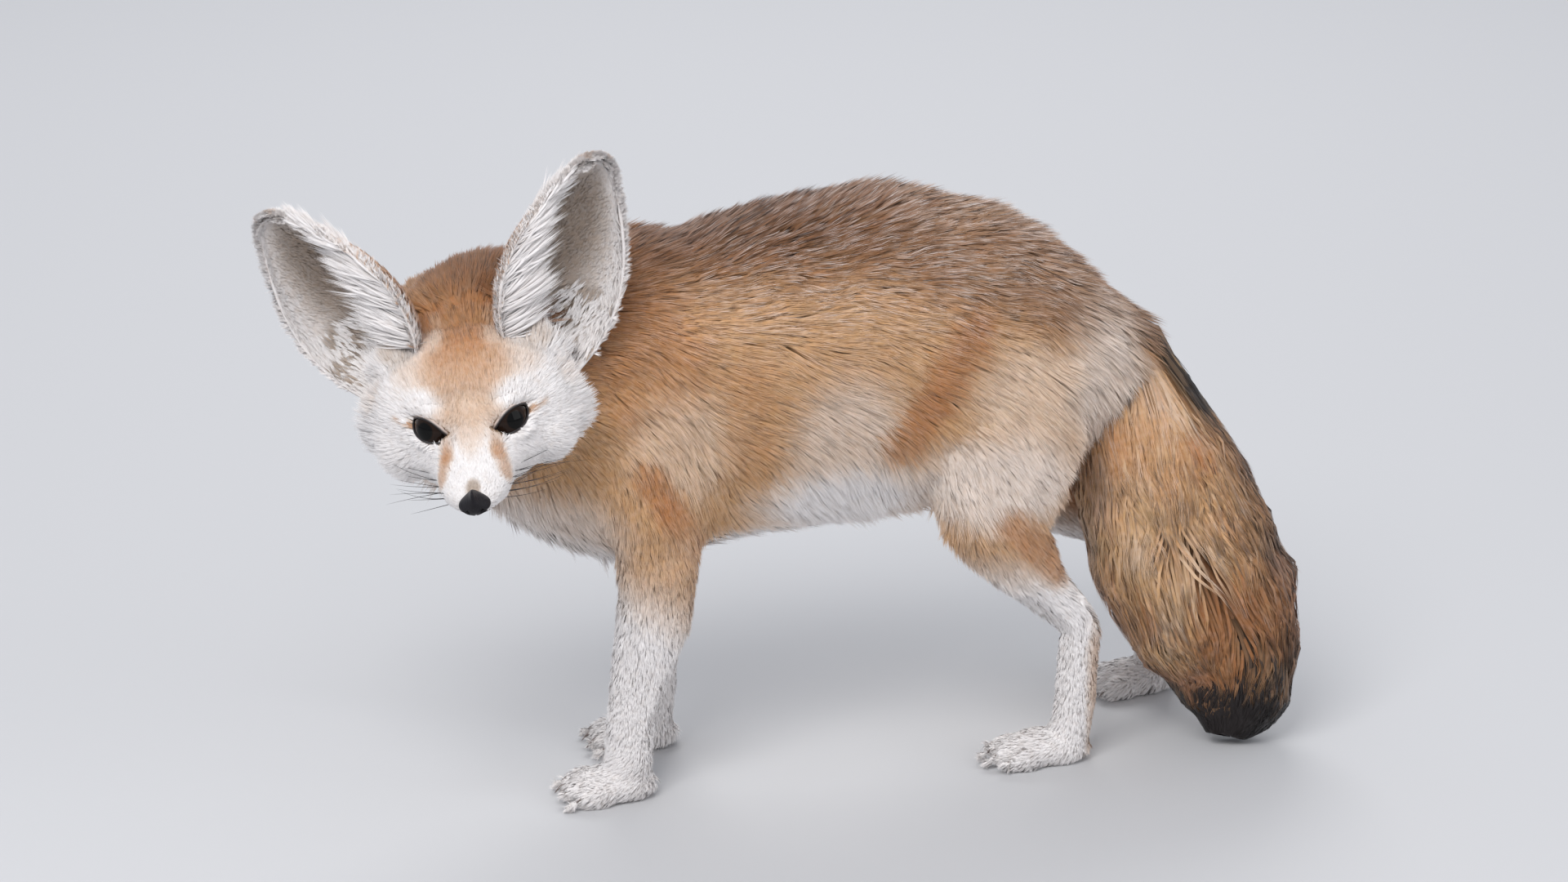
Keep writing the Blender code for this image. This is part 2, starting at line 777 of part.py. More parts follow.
def tail_locks(brush):
    """Rows of locks that leave the core, bend down the tail and overlap, with their tips on its outline."""
    draw = random.Random(11)
    locks = []
    for row in range(LOCK_ROWS):
        start = -0.03 + 0.87 * row / (LOCK_ROWS - 1)
        girth = 2 * math.pi * float(np.mean(brush.read(brush.sizes, min(start + LOCK_RUN * 0.7, 0.9))))
        count = max(5, round(girth / LOCK_WIDTH))
        for k in range(count):
            angle = 2 * math.pi * (k + 0.5 * (row % 2) + draw.uniform(-0.15, 0.15)) / count
            run = min(LOCK_RUN * draw.uniform(0.88, 1.1), 1.0 - start)
            root = start + draw.uniform(-0.012, 0.012)
            sway = draw.uniform(-0.14, 0.14)
            spine, outward = [], []
            for share, reach in ((0.0, 0.36), (0.3, 0.74), (0.66, 0.93), (1.0, 1.0)):
                down = max(0.0, root + run * share)
                turn = angle + sway * share
                place = brush.point(down, turn, reach)
                spine.append((*place[:2], max(place[2], LOCK_FLOOR)))
                outward.append(place - brush.read(brush.centres, down))
            half = LOCK_WIDTH * draw.uniform(0.46, 0.56) * min(1.0, 0.35 + 1.6 * (1 - start))
            widths = (half * 0.7, half, half * 0.68)
            locks.append(lock("lock", spine, outward, widths, (3.4, 3.4, 2.4)))
    return locks


TAIL_CUTS = (0.2, 0.52)


def skirt(brush, top, grown):
    """What lies under the locks that start above a place on the tail: it widens down the lie of the locks."""
    rows = []
    for step, reach in ((-0.01, 0.1), (0.0, 0.34), (0.08, 0.7), (0.17, 0.9), (0.26, 1.12), (0.34, 1.4)):
        down = top + step
        rows.append((*brush.read(brush.centres, down), *(brush.read(brush.sizes, down) * reach)))
    rows.append((*brush.read(brush.centres, 1.0), 60, 60, 60))
    low = brush.read(brush.centres, 1.0) - (0, 0, 40)
    rows.append((*low, 60, 60, 60))
    exact = tube("skirt", rows, TAIL_FRONT, count=22, sides=20)
    made = inflated(exact, "skirt", grown)
    remove(exact)
    return made


def half_space(name, point, normal, size=400.0):
    """A box that fills the side of a plane that its normal points to."""
    normal = Vector(normal).normalized()
    frame = normal.to_track_quat("Z", "Y").to_matrix().to_4x4()
    frame.translation = Vector(point) * MM
    return box(name, (-size, -size, 0), (size, size, 2 * size), frame=frame)


def head_region(grown):
    radii = HEAD_REGION + Vector((grown, grown, grown))
    return ellipsoid("head_region", (-2, 0, 0), radii, segments=28, rings=16, frame=HEAD)


def neck_side(grown):
    return half_space("neck_region", (-80 + grown, 0, 160), (-0.96, 0, 0.28))


# How far each leg reaches up into the body.
LEG_TOPS = {"left_hind": 128, "right_hind": 128, "left_fore": 118, "right_fore": 118}
LEG_FOOT = 24
LEG_ROOM = 9.0
LEG_BAND = 6.0


def leg_side(name):
    """What holds one leg below the body: level rings round all that the leg reaches there, with a round top."""
    loft = tube(name, leg_rows()[name], (-1, 0, 0), count=80, sides=20)
    points = np.array([vertex.co for vertex in loft.data.vertices]) / MM
    remove(loft)
    levels = []
    for z in np.linspace(LEG_TOPS[name], LEG_FOOT, 11):
        near = points[np.abs(points[:, 2] - z) < LEG_BAND]
        low, high = near.min(axis=0), near.max(axis=0)
        middle, half = (low + high) / 2, (high - low) / 2
        levels.append((middle[0], middle[1], z, half[1], half[0], half[0]))
    x, y, z, wide, front, back = levels[0]
    heel, toe, across, half_width = FEET[name]
    foot = ((heel + toe) / 2, across, half_width, (heel - toe) / 2, (heel - toe) / 2)

    def shape(grown):
        room = LEG_ROOM + grown
        stack = [(x, y, z + 13 + grown, 4, 4, 4), (x, y, z + 9 + grown, wide * 0.8, front * 0.8, back * 0.8)]
        stack += [(*row[:3], row[3] + room, row[4] + room, row[5] + room) for row in levels]
        for low in (8, -12):
            stack.append((*foot[:2], low, foot[2] + room, foot[3] + room, foot[4] + room))
        return tube("leg_region", stack, (-1, 0, 0), count=22, sides=12, level=True)

    return shape


def freedom(place):
    """How freely the surface may lose triangles: little on the face and the feet."""
    ahead = (HEAD.inverted() @ (place * MM)) / MM
    if min((ahead - eye_axes(side)[0]).length for side in (-1, 1)) < LID_REACH:
        return 0.1
    if ahead.length < min(HEAD_REGION):
        return 0.3 if ahead.x > -12 else 0.8
    if place.z < 24:
        return 0.5
    return 1.0


def finish(obj, name, paint):
    obj.name = name
    obj.data.name = name
    obj.data.materials.clear()
    obj.data.materials.append(paint)
    obj.data.transform(Matrix.Translation(CENTRE_SHIFT * MM))
    obj.data.shade_smooth()
    HELPERS.objects.unlink(obj)
    FOX.objects.link(obj)


def main():
    lofts = trunk_lofts() + leg_lofts() + head_lofts()
    whole = fuse("whole", lofts, SKIN_VOXEL, 6)
    remove(*lofts)
    press_orbits(whole)
    thin_out(whole, BODY_TRIANGLES, freedom)
    combine(whole, [half_space("ground", (0, 0, 0), (0, 0, -1))], "DIFFERENCE")
    shell = inflated(whole, "shell")
    ears = {}
    for side, name in ((1, "left_ear"), (-1, "right_ear")):
        ears[name] = ear_shell(name, side)
        combine(ears[name], ear_hair(side), "UNION")
        combine(ears[name], [copy_of(shell, "around")], "DIFFERENCE")
        keep_largest(ears[name])

    head = part_off(whole, "head", head_region)
    ruff = cheek_ruff(head)
    lids = EYE_RADIUS + GAP + LID_THICKNESS
    combine(head, [ball("lids", eye_axes(side)[0], lids, 16, 9, HEAD) for side in (-1, 1)], "UNION", "MANIFOLD")
    fringe = ruff.pop()
    combine(fringe, ruff, "UNION")
    behind = combine(copy_of(shell, "behind"), [head_region(0.0)], "DIFFERENCE")
    combine(fringe, [behind], "DIFFERENCE")
    combine(head, [fringe], "UNION", "MANIFOLD")
    keep_largest(head)
    combine(head, [mouth_cutter(head)], "DIFFERENCE", "MANIFOLD")
    combine(head, [nose_pad(GAP)], "DIFFERENCE", "MANIFOLD")
    combine(head, [slit_cutter(side) for side in (-1, 1)], "DIFFERENCE", "MANIFOLD")
    sockets = [ball("socket", eye_axes(side)[0], EYE_RADIUS + GAP, 16, 9, HEAD) for side in (-1, 1)]
    combine(head, sockets, "DIFFERENCE", "MANIFOLD")
    keep_largest(head)

    neck = part_off(whole, "neck", neck_side)
    legs = {}
    for name in FEET:
        legs[name] = part_off(whole, name, leg_side(name))
    keep_largest(whole)

    for name, ear in ears.items():
        finish(ear, name, WHITE)
    for side, name in ((1, "left_eye"), (-1, "right_eye")):
        finish(ball("eye", eye_axes(side)[0], EYE_RADIUS, 14, 8, HEAD), name, DARK_EYE)
    nose = nose_pad(0.0)
    combine(nose, nostrils(), "DIFFERENCE")
    finish(nose, "nose", NOSE_SKIN)

    for name, leg in legs.items():
        paw = part_off(leg, name + "_paw", lambda grown: half_space("paw", (0, 0, 17 + grown), (0, 0, -1)))
        keep_largest(leg)
        combine(paw, claws(name), "UNION")
        finish(paw, name + "_paw", WHITE)
        finish(leg, name + "_leg", WHITE)

    brush = Brush()
    core = [(*row[:3], *(size * TAIL_CORE for size in row[3:])) for row in tail_rows()]
    tail = tube("tail", core, TAIL_FRONT, count=16, sides=10)
    combine(tail, tail_locks(brush), "UNION")
    combine(tail, [shell], "DIFFERENCE")
    keep_largest(tail)
    tip = part_off(tail, "tip", lambda grown: skirt(brush, TAIL_CUTS[1], grown))
    middle = part_off(tail, "middle", lambda grown: skirt(brush, TAIL_CUTS[0], grown))
    keep_largest(tail)
    finish(tip, "tail_tip", RUST)
    finish(middle, "tail_middle", RUST)
    finish(tail, "tail_base", RUST)
    finish(whole, "torso", SAND)
    finish(neck, "neck", SAND)
    finish(head, "head", WHITE)


main()
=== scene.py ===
# Dresses the fennec fox: one skin, its coat in tufts and locks, eyes, lids, nose, mouth, whiskers and claws.
import math
import bmesh
import bpy
import numpy as np
from mathutils import Matrix, Vector


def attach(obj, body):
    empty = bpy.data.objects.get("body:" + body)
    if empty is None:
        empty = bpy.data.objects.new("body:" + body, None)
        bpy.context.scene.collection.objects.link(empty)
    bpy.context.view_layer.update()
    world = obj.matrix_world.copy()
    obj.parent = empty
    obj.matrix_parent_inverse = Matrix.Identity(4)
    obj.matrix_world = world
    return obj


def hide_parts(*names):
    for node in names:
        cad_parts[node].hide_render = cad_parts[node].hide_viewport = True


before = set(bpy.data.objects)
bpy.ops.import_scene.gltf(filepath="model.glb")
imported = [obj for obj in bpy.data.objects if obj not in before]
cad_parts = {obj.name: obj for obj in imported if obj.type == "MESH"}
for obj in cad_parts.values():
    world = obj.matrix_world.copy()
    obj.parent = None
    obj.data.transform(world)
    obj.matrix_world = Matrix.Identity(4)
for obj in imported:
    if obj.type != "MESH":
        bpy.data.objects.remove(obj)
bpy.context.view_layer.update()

# Places are in millimetres from the animal's own origin, and the frame has that origin at bodyShift.
mm = 0.001
bodyShift = np.array((2.5, 26.4, 0.0))
draw = np.random.default_rng(12)

headPose = {"turn": 76.5, "down": 13.0, "lean": 8.0, "eyes": (-136.5, -69.6, 165.5)}
eyeSize = {"radius": 8.0, "scale": 1.14, "spread": 16.6, "halfLength": 54.0, "above": 24.0, "below": 20.5,
           "dome": 8.4, "socket": 7.2, "room": 10.8}
fleshNodes = ["neck", "torso"] + [
    f"{side}_{limb}" for side in ("left", "right") for limb in ("fore_leg", "hind_leg", "fore_paw", "hind_paw")
]
skinNodes = fleshNodes + ["head", "left_ear", "right_ear", "tail_base", "tail_middle", "tail_tip"]


def unit(v):
    return v / np.maximum(np.linalg.norm(v, axis=-1, keepdims=True), 1e-9)


def step(low, high, value):
    t = np.clip((value - low) / (high - low), 0, 1)
    return t * t * (3 - 2 * t)


def circle(count):
    return np.linspace(0, 2 * math.pi, count, endpoint=False)


def headAxes():
    turn, down, lean = (math.radians(headPose[k]) for k in ("turn", "down", "lean"))
    forward = np.array((-math.cos(turn) * math.cos(down), -math.sin(turn) * math.cos(down), -math.sin(down)))
    levelLeft = unit(np.cross((0, 0, 1), forward))
    levelUp = np.cross(forward, levelLeft)
    left = levelLeft * math.cos(lean) + levelUp * math.sin(lean)
    up = levelUp * math.cos(lean) - levelLeft * math.sin(lean)
    return np.array((forward, left, up))


headRows = headAxes()
headOrigin = np.array(headPose["eyes"])


def fromHead(places):
    return np.asarray(places, float) @ headRows + headOrigin


def toHead(places):
    return (places - headOrigin) @ headRows.T


def smoothRows(rows, count):
    rows = np.array(rows, float)
    ends = np.vstack((2 * rows[0] - rows[1], rows, 2 * rows[-1] - rows[-2]))
    t = np.linspace(0, len(rows) - 1, count)
    i = np.minimum(t.astype(int), len(rows) - 2)
    u = (t - i)[:, None]
    a, b, c, d = ends[i], ends[i + 1], ends[i + 2], ends[i + 3]
    return 0.5 * (2 * b + (c - a) * u + (2 * a - 5 * b + 4 * c - d) * u**2 + (3 * b - a - 3 * c + d) * u**3)


def loft(rows, front, count, sides):
    # rings round a line of centres: x, y, z, half width, reach to the front and to the back
    read = smoothRows(rows, count)
    centres, sizes = read[:, :3], read[:, 3:]
    along = unit(np.gradient(centres, axis=0))
    front = np.array(front, float)
    ahead = unit(front - along * (along @ front)[:, None])
    beside = np.cross(along, ahead)
    turn = circle(sides)
    c, s = np.cos(turn), np.sin(turn)
    reach = np.where(s > 0, sizes[:, 1:2], sizes[:, 2:3]) * s
    return centres[:, None] + beside[:, None] * (sizes[:, :1] * c)[..., None] + ahead[:, None] * reach[..., None]


def ballRings(centre, radii, turn=(0, 0, 0), count=24, sides=36):
    lat = np.linspace(-math.pi / 2 + 0.01, math.pi / 2 - 0.01, count)
    lon = circle(sides)
    flat = np.cos(lat)[:, None]
    ball = np.stack((flat * np.cos(lon), flat * np.sin(lon), np.sin(lat)[:, None] + 0 * lon), axis=-1)
    ball = ball * np.array(radii, float)
    for degrees, axis in zip(turn, "XYZ"):
        ball = ball @ np.array(Matrix.Rotation(math.radians(degrees), 3, axis)).T
    return ball + np.array(centre, float)


def gridFaces(rows, cols, wrap, first=0):
    i, j = np.meshgrid(np.arange(rows - 1), np.arange(cols if wrap else cols - 1), indexing="ij")
    a = i * cols + j
    b = i * cols + (j + 1) % cols
    return (np.stack((a, b, b + cols, a + cols), axis=-1).reshape(-1, 4) + first).tolist()


def closedRings(rings):
    rows, cols = rings.shape[:2]
    faces = gridFaces(rows, cols, True)
    faces += [list(range(cols))[::-1], list(range((rows - 1) * cols, rows * cols))]
    return rings.reshape(-1, 3), faces


def addForm(bm, places, faces):
    made = [bm.verts.new(p) for p in (places + bodyShift) * mm]
    for face in faces:
        bm.faces.new([made[k] for k in face])


def meshOf(name, places, faces):
    mesh = bpy.data.meshes.new(name)
    mesh.from_pydata(((places + bodyShift) * mm).tolist(), [], faces)
    bm = bmesh.new()
    bm.from_mesh(mesh)
    bmesh.ops.recalc_face_normals(bm, faces=bm.faces)
    bm.to_mesh(mesh)
    bm.free()
    mesh.shade_smooth()
    return mesh


def linked(name, data):
    made = bpy.data.objects.new(name, data)
    bpy.context.scene.collection.objects.link(made)
    return made


def pieceOf(name, mesh, paint, nodes=()):
    made = linked(name, mesh)
    mesh.materials.append(paint)
    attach(made, "root")
    if nodes:
        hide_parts(*nodes)
    return made


def setPlaces(mesh, places):
    mesh.vertices.foreach_set("co", ((places + bodyShift) * mm).astype(np.float32).ravel())


def setPointValues(mesh, name, values):
    layer = mesh.attributes.new(name, "FLOAT", "POINT")
    layer.data.foreach_set("value", np.asarray(values, np.float32).ravel())


def setMarks(mesh, marks):
    for name, column in zip(("rust", "pale", "black"), np.moveaxis(marks, -1, 0)):
        setPointValues(mesh, name, column)


def waver(places, size, seed):
    # smooth random vectors that change over a distance of about size
    cells = 32
    lattice = np.random.default_rng(seed).normal(size=(cells, cells, cells, 3))
    cell = places / size
    low = np.floor(cell).astype(int)
    part = cell - low
    part = part * part * (3 - 2 * part)
    total = np.zeros((len(places), 3))
    for corner in np.ndindex(2, 2, 2):
        weight = np.prod(np.where(corner, part, 1 - part), axis=1)
        i = (low + corner) % cells
        total += lattice[i[:, 0], i[:, 1], i[:, 2]] * weight[:, None]
    return total


# Each row: place (3), lie of the hair (3), depth of the coat, length, tuft width, tufts to a square millimetre.
bodyCoat = {
    "both": [
        (-95, 0, 214, 0.85, 0.25, 0, 9, 14, 1.2, 0.86), (-60, 0, 216, 1, 0.1, 0, 9, 14, 1.2, 0.86),
        (-10, 0, 223, 1, 0, 0, 9, 14, 1.2, 0.86), (45, 0, 227, 1, 0, -0.08, 9, 14, 1.2, 0.86),
        (90, 0, 212, 0.9, 0, -0.4, 9, 14, 1.2, 0.86), (128, 0, 184, 0.65, 0, -0.75, 8, 14, 1.2, 0.86),
        (-90, 40, 190, 0.8, 0.1, -0.3, 9, 15, 1.2, 0.86), (-70, 44, 160, 0.65, 0, -0.65, 9, 14, 1.2, 0.86),
        (-30, 46, 195, 0.95, 0, -0.2, 9, 14, 1.2, 0.86), (-20, 48, 160, 0.85, 0, -0.45, 9, 15, 1.2, 0.86),
        (20, 48, 190, 0.95, 0, -0.25, 9, 14, 1.2, 0.86), (20, 48, 155, 0.8, 0, -0.6, 9, 15, 1.2, 0.86),
        (70, 47, 190, 0.85, 0, -0.45, 9, 14, 1.2, 0.86), (105, 38, 175, 0.6, 0, -0.75, 9, 15, 1.2, 0.86),
        (-15, 44, 118, 0.6, -0.1, -0.8, 9, 16, 1.2, 0.86), (25, 42, 115, 0.6, -0.1, -0.8, 9, 16, 1.2, 0.86),
        (-20, 10, 94, 0.95, 0, -0.2, 8, 14, 1.2, 0.6), (35, 10, 97, 0.95, 0, -0.2, 8, 14, 1.2, 0.6),
        (130, 24, 150, 0.35, 0, -0.93, 9, 15, 1.2, 0.86), (-110, -6, 128, 0.25, 0, -0.95, 9, 15, 1.2, 0.86),
        (-95, 12, 100, 0.55, 0, -0.8, 9, 14, 1.2, 0.86), (-62, 42, 128, 0.25, 0, -0.95, 7, 12, 1.15, 0.95),
        (-60, 38, 105, 0.1, 0, -1, 4.5, 9, 1.05, 1.05), (-58, 34, 85, 0.05, 0, -1, 3, 7, 0.95, 1),
        (-62, 30, 60, 0, 0, -1, 2, 5, 0.85, 1.2), (-67, 30, 30, -0.1, 0, -1, 1.6, 4, 0.8, 1.3),
        (-78, 30, 12, -0.9, 0, -0.35, 1.4, 3.6, 0.75, 1.7), (85, 50, 145, 0.55, 0, -0.8, 8.5, 14, 1.2, 0.86),
        (55, 46, 128, 0.5, 0, -0.85, 8, 14, 1.2, 0.86), (78, 48, 115, 0.5, 0, -0.85, 6.5, 12, 1.15, 0.92),
    ],
    "leftHind": [
        (76, -40, 95, 0.6, 0, -0.8, 4, 9, 1.05, 1.1), (92, -36, 72, 0.7, 0, -0.7, 2.5, 6, 0.9, 1.1),
        (107, -34, 45, 0, 0, -1, 1.8, 4.5, 0.85, 1.2), (107, -34, 22, -0.1, 0, -1, 1.6, 4, 0.8, 1.3),
        (88, -34, 12, -0.9, 0, -0.35, 1.4, 3.6, 0.75, 1.7),
    ],
    "rightHind": [
        (98, 40, 98, 0.75, 0, -0.65, 4, 9, 1.05, 1.1), (138, 37, 73, 0.8, 0, -0.6, 2.5, 6, 0.9, 1.1),
        (162, 35, 45, 0, 0, -1, 1.8, 4.5, 0.85, 1.2), (163, 35, 22, -0.1, 0, -1, 1.6, 4, 0.8, 1.3),
        (148, 35, 12, -0.9, 0, -0.35, 1.4, 3.6, 0.75, 1.7),
    ],
}
# The same in the head's frame: forward, left and up from the point midway between the eyes.
headCoat = [
    (33, 5, -9, -1, 0.1, 0.1, 0.7, 1.6, 0.55, 4.5), (24, 4, -6, -1, 0, 0.3, 0.9, 2.2, 0.6, 4),
    (10, 5, 3, -0.9, 0.1, 0.45, 1.1, 2.8, 0.65, 3.6), (-6, 3, 18, -0.7, 0, 0.7, 2, 5, 0.8, 2.8),
    (-24, 4, 26, -0.95, 0, 0.3, 4, 9, 1.1, 1.8), (-44, 4, 24, -0.95, 0, -0.25, 6, 12, 1.3, 1.3),
    (22, 12, -15, -0.95, 0.2, -0.15, 1, 2.4, 0.6, 4), (10, 15, -14, -0.9, 0.35, -0.2, 1.3, 3.2, 0.65, 3.4),
    (0, 17, -9, -0.8, 0.5, -0.25, 1.8, 4, 0.7, 3.2), (2, 15, 9, -0.75, 0.25, 0.6, 1.4, 3, 0.65, 3.4),
    (-8, 17, 15, -0.75, 0.3, 0.6, 2.2, 5, 0.8, 2.8), (-6, 28, 4, -0.8, 0.55, 0.1, 2.6, 5.5, 0.85, 2.6),
    (-6, 26, -16, -0.75, 0.55, -0.35, 3.5, 8, 0.95, 2.2), (-16, 38, 4, -0.75, 0.6, 0, 5, 10, 1.1, 1.9),
    (-16, 37, -14, -0.75, 0.6, -0.25, 6.5, 13, 1.2, 1.8), (-16, 25, -32, -0.75, 0.35, -0.55, 6.5, 13, 1.2, 1.7),
    (-30, 38, 0, -0.8, 0.5, -0.2, 6, 12, 1.2, 1.7), (28, 5, -22, -1, 0, -0.2, 1, 2.4, 0.6, 3.6),
    (10, 6, -28, -0.95, 0.1, -0.25, 1.8, 4, 0.8, 2.8), (-12, 6, -36, -0.85, 0, -0.5, 5, 10, 1.1, 1.8),
    (-26, 24, 22, -0.4, 0.2, 0.9, 4.5, 9, 1.1, 1.9),
]


def coatTable():
    # a row that stands off the middle counts for both sides
    rows = []
    for group, entries in bodyCoat.items():
        for row in entries:
            rows.append(row)
            if group == "both" and abs(row[1]) > 1:
                rows.append((row[0], -row[1], row[2], row[3], -row[4], *row[5:]))
    for row in headCoat:
        for side in (-1, 1):
            way = np.array((row[3], side * row[4], row[5])) @ headRows
            rows.append((*fromHead((row[0], side * row[1], row[2])), *way, *row[6:]))
    return np.array(rows)


coatRows = coatTable()


def coatAt(places):
    # lie, depth, length, width and density of the coat, weighted to the nearest rows
    read = np.empty((len(places), 7))
    batch = 20000
    for low in range(0, len(places), batch):
        part = places[low : low + batch]
        square = ((part[:, None] - coatRows[None, :, :3]) ** 2).sum(-1)
        weight = 1 / (square + 20) ** 2.2
        weight /= weight.sum(1, keepdims=True)
        read[low : low + batch] = weight @ coatRows[:, 3:]
    return read


def spot(places, centre, radii, soft=0.45):
    away = np.linalg.norm((places - np.array(centre, float)) / np.array(radii, float), axis=1)
    return 1 - step(1 - soft, 1 + soft, away)


def streak(places, start, end, width):
    start, end = np.array(start, float), np.array(end, float)
    way = end - start
    share = np.clip(((places - start) @ way) / (way @ way), 0, 1)
    away = np.linalg.norm(places - start - share[:, None] * way, axis=1)
    return 1 - step(0.35 * width, 1.2 * width, away)


def layer(under, over, mask):
    return under + (np.array(over) - under) * mask[:, None]


def marked(m, places, rows):
    # rows: colour, centre, radii and strength of a spot, or colour, start, end, strength and width of a streak
    for colour, first, second, strength, *width in rows:
        mask = streak(places, first, second, *width) if width else spot(places, first, second)
        m = layer(m, colour, mask * strength)
    return m


# Marks are shares of rust, pale and black, and those of the trunk are laid on from the top down.
trunkMarks = [
    ((0.70, 0, 0.06), (-62, 11, 170), (22, 20, 30), 0.8), ((0.05, 0.34, 0), (-50, 12, 142), (22, 20, 20), 0.7),
    ((0.50, 0, 0.05), (-27, 12, 148), (11, 20, 26), 0.7), ((0.10, 0.50, 0.02), (11, 12, 138), (22, 20, 26), 0.85),
    ((0, 0.95, 0), (14, 11, 113), (34, 20, 15), 1), ((0.85, 0, 0.10), (33, 11, 138), (61, 11, 180), 0.9, 10),
    ((0.05, 0.38, 0), (84, 12, 152), (24, 20, 18), 0.8), ((0.02, 0.72, 0), (72, 12, 120), (32, 20, 18), 0.85),
    ((0.08, 0.62, 0.03), (118, 7, 150), (18, 20, 30), 0.85),
]
browMarks = [
    ((0.12, 0.58, 0), (-9, 0, 16), (20, 26, 14), 0.7), ((0.16, 0.55, 0), (10, 0, 2), (13, 5, 8), 0.75),
    ((0.26, 0.34, 0), (-2, 0, 12), (19, 17, 15), 1), ((0.52, 0.16, 0.02), (-12, 0, 21), (15, 17, 12), 1),
    ((0.78, 0, 0.10), (-26, 0, 27), (17, 15, 14), 1), ((0.78, 0, 0.26), (-42, 0, 26), (18, 26, 22), 1),
]
faceMarks = [
    ((0, 0.58, 0), (-26, 11.5, 30), (14, 5.5, 10), 1), ((0, 1, 0), (-1.5, 18.5, 8.5), (8, 9, 5), 1),
    ((0.25, 0.45, 0), (-16, 24, 18), (9, 8, 6), 0.5), ((0.85, 0, 0.08), (4.5, 7.4, -0.8), (15, 8.4, -6.5), 0.9, 4),
    ((0.70, 0.10, 0.02), (14, 8.4, -6.5), (21, 11.2, -11), 0.75, 4.4),
    ((0.85, 0, 0.12), (-2.5, 22.3, 0.8), (-5.5, 26, 1.8), 0.85, 1.8),
    ((0, 0.30, 0.55), (32.5, 0, -8.5), (4.5, 2.6, 3.0), 0.7), ((0, 0.50, 0.34), (-24, 29, 19), (8, 8, 6), 0.7),
    ((0.25, 0.5, 0), (-20, 40, 8), (10, 8, 8), 0.4),
]
shinStreaks = {-1: ((76, 11, 104), (98, 11, 81)), 1: ((100, 11, 100), (140, 11, 80))}


def bodyMarks(places):
    p = places * (1, 1, 1)
    p[:, 1] = np.abs(p[:, 1])
    x, y, z = p.T
    flat = p * (1, 0.25, 1)
    m = np.tile((0.30, 0.02, 0.02), (len(p), 1))
    top = step(183, 217, z + 0.35 * np.maximum(x - 30, 0) - 0.25 * y + 8)
    m = layer(m, (0.95, 0.0, 0.64), top)
    m = layer(m, (0.62, 0.08, 0.38), top * step(0, 70, x) * 0.8)
    # the two spots behind the head keep the neck's own darker rust, and their black share is painted shade on the neck
    # behind the head
    m = layer(m, (0.96, 0.0, 0.50), spot(flat, (-92, 7, 192), (32, 20, 50)) * step(150, 195, z))
    m = layer(m, (0.98, 0.0, 0.70), spot(flat, (-108, 8, 184), (20, 20, 34)) * 0.85 * step(150, 185, z))
    m = marked(m, flat, trunkMarks)
    m = marked(m, p, [((0.80, 0, 0.45), (128, 2, 192), (26, 12, 18), 0.8)])
    under = 1 - step(98, 112, z + 0.12 * y)
    middle = step(-38, -26, x) * (1 - step(30, 45, x))
    m = layer(m, (0.0, 1.0, 0.0), under * np.maximum(middle, 1 - step(16, 26, y)))
    m = marked(m, flat, [
        ((0.10, 0.60, 0), (-98, 5, 106), (26, 20, 18), 0.85), ((0.88, 0, 0.05), (-64, 11, 132), (-44, 10, 98), 0.9, 8),
    ])
    fore, hind = 1 - step(-34, -22, x), step(20, 40, x)
    m = layer(m, (0.30, 0.16, 0.0), fore * spot(flat, (-50, 9, 84), (14, 20, 26)) * 0.8)
    m = layer(m, (0.0, 1.0, 0.0), fore * (1 - step(58, 98, z + 0.7 * (x + 60))))
    m = layer(m, (0.0, 1.0, 0.0), hind * (1 - step(66, 100, z)))
    for side, line in shinStreaks.items():
        m = layer(m, (0.75, 0.04, 0.05), streak(flat, *line, 9) * (places[:, 1] * side > 0) * 0.85)
    back = hind * step(0, 6, x - 108) * (1 - step(44, 66, z)) * (places[:, 1] < 0)
    return layer(m, (0.40, 0.30, 0.0), back * 0.8)


def headMarks(q):
    p = q * (1, 1, 1)
    p[:, 1] = np.abs(p[:, 1])
    m = marked(np.tile((0.0, 1.0, 0.0), (len(p), 1)), p, browMarks)
    m = layer(m, (0.90, 0.0, 0.22), step(36, 46, -p[:, 0]) * step(-22, -8, p[:, 2]))
    return marked(m, p, faceMarks)


def headReach(q):
    # 1 on the egg round the head that parts its coat from the body's
    return np.linalg.norm((q - (-2, 0, 0)) / (52, 56, 54), axis=1)


def marksAt(places):
    q = toHead(places)
    share = 1 - step(0.94, 1.04, headReach(q))
    return bodyMarks(places) * (1 - share)[:, None] + headMarks(q) * share[:, None]


class Link:
    # a socket that Python operators turn into Math nodes
    def __init__(self, paint, socket):
        self.paint, self.socket = paint, socket

    def maths(self, operation, *values):
        return self.paint.add("ShaderNodeMath", {"operation": operation}, dict(enumerate(values)))

    def __add__(self, other):
        return self.maths("ADD", self, other)

    def __sub__(self, other):
        return self.maths("SUBTRACT", self, other)

    def __rsub__(self, other):
        return self.maths("SUBTRACT", other, self)

    def __mul__(self, other):
        return self.maths("MULTIPLY", self, other)

    def clamped(self):
        return self.paint.add("ShaderNodeClamp", {}, {0: self})

    __radd__, __rmul__ = __add__, __mul__


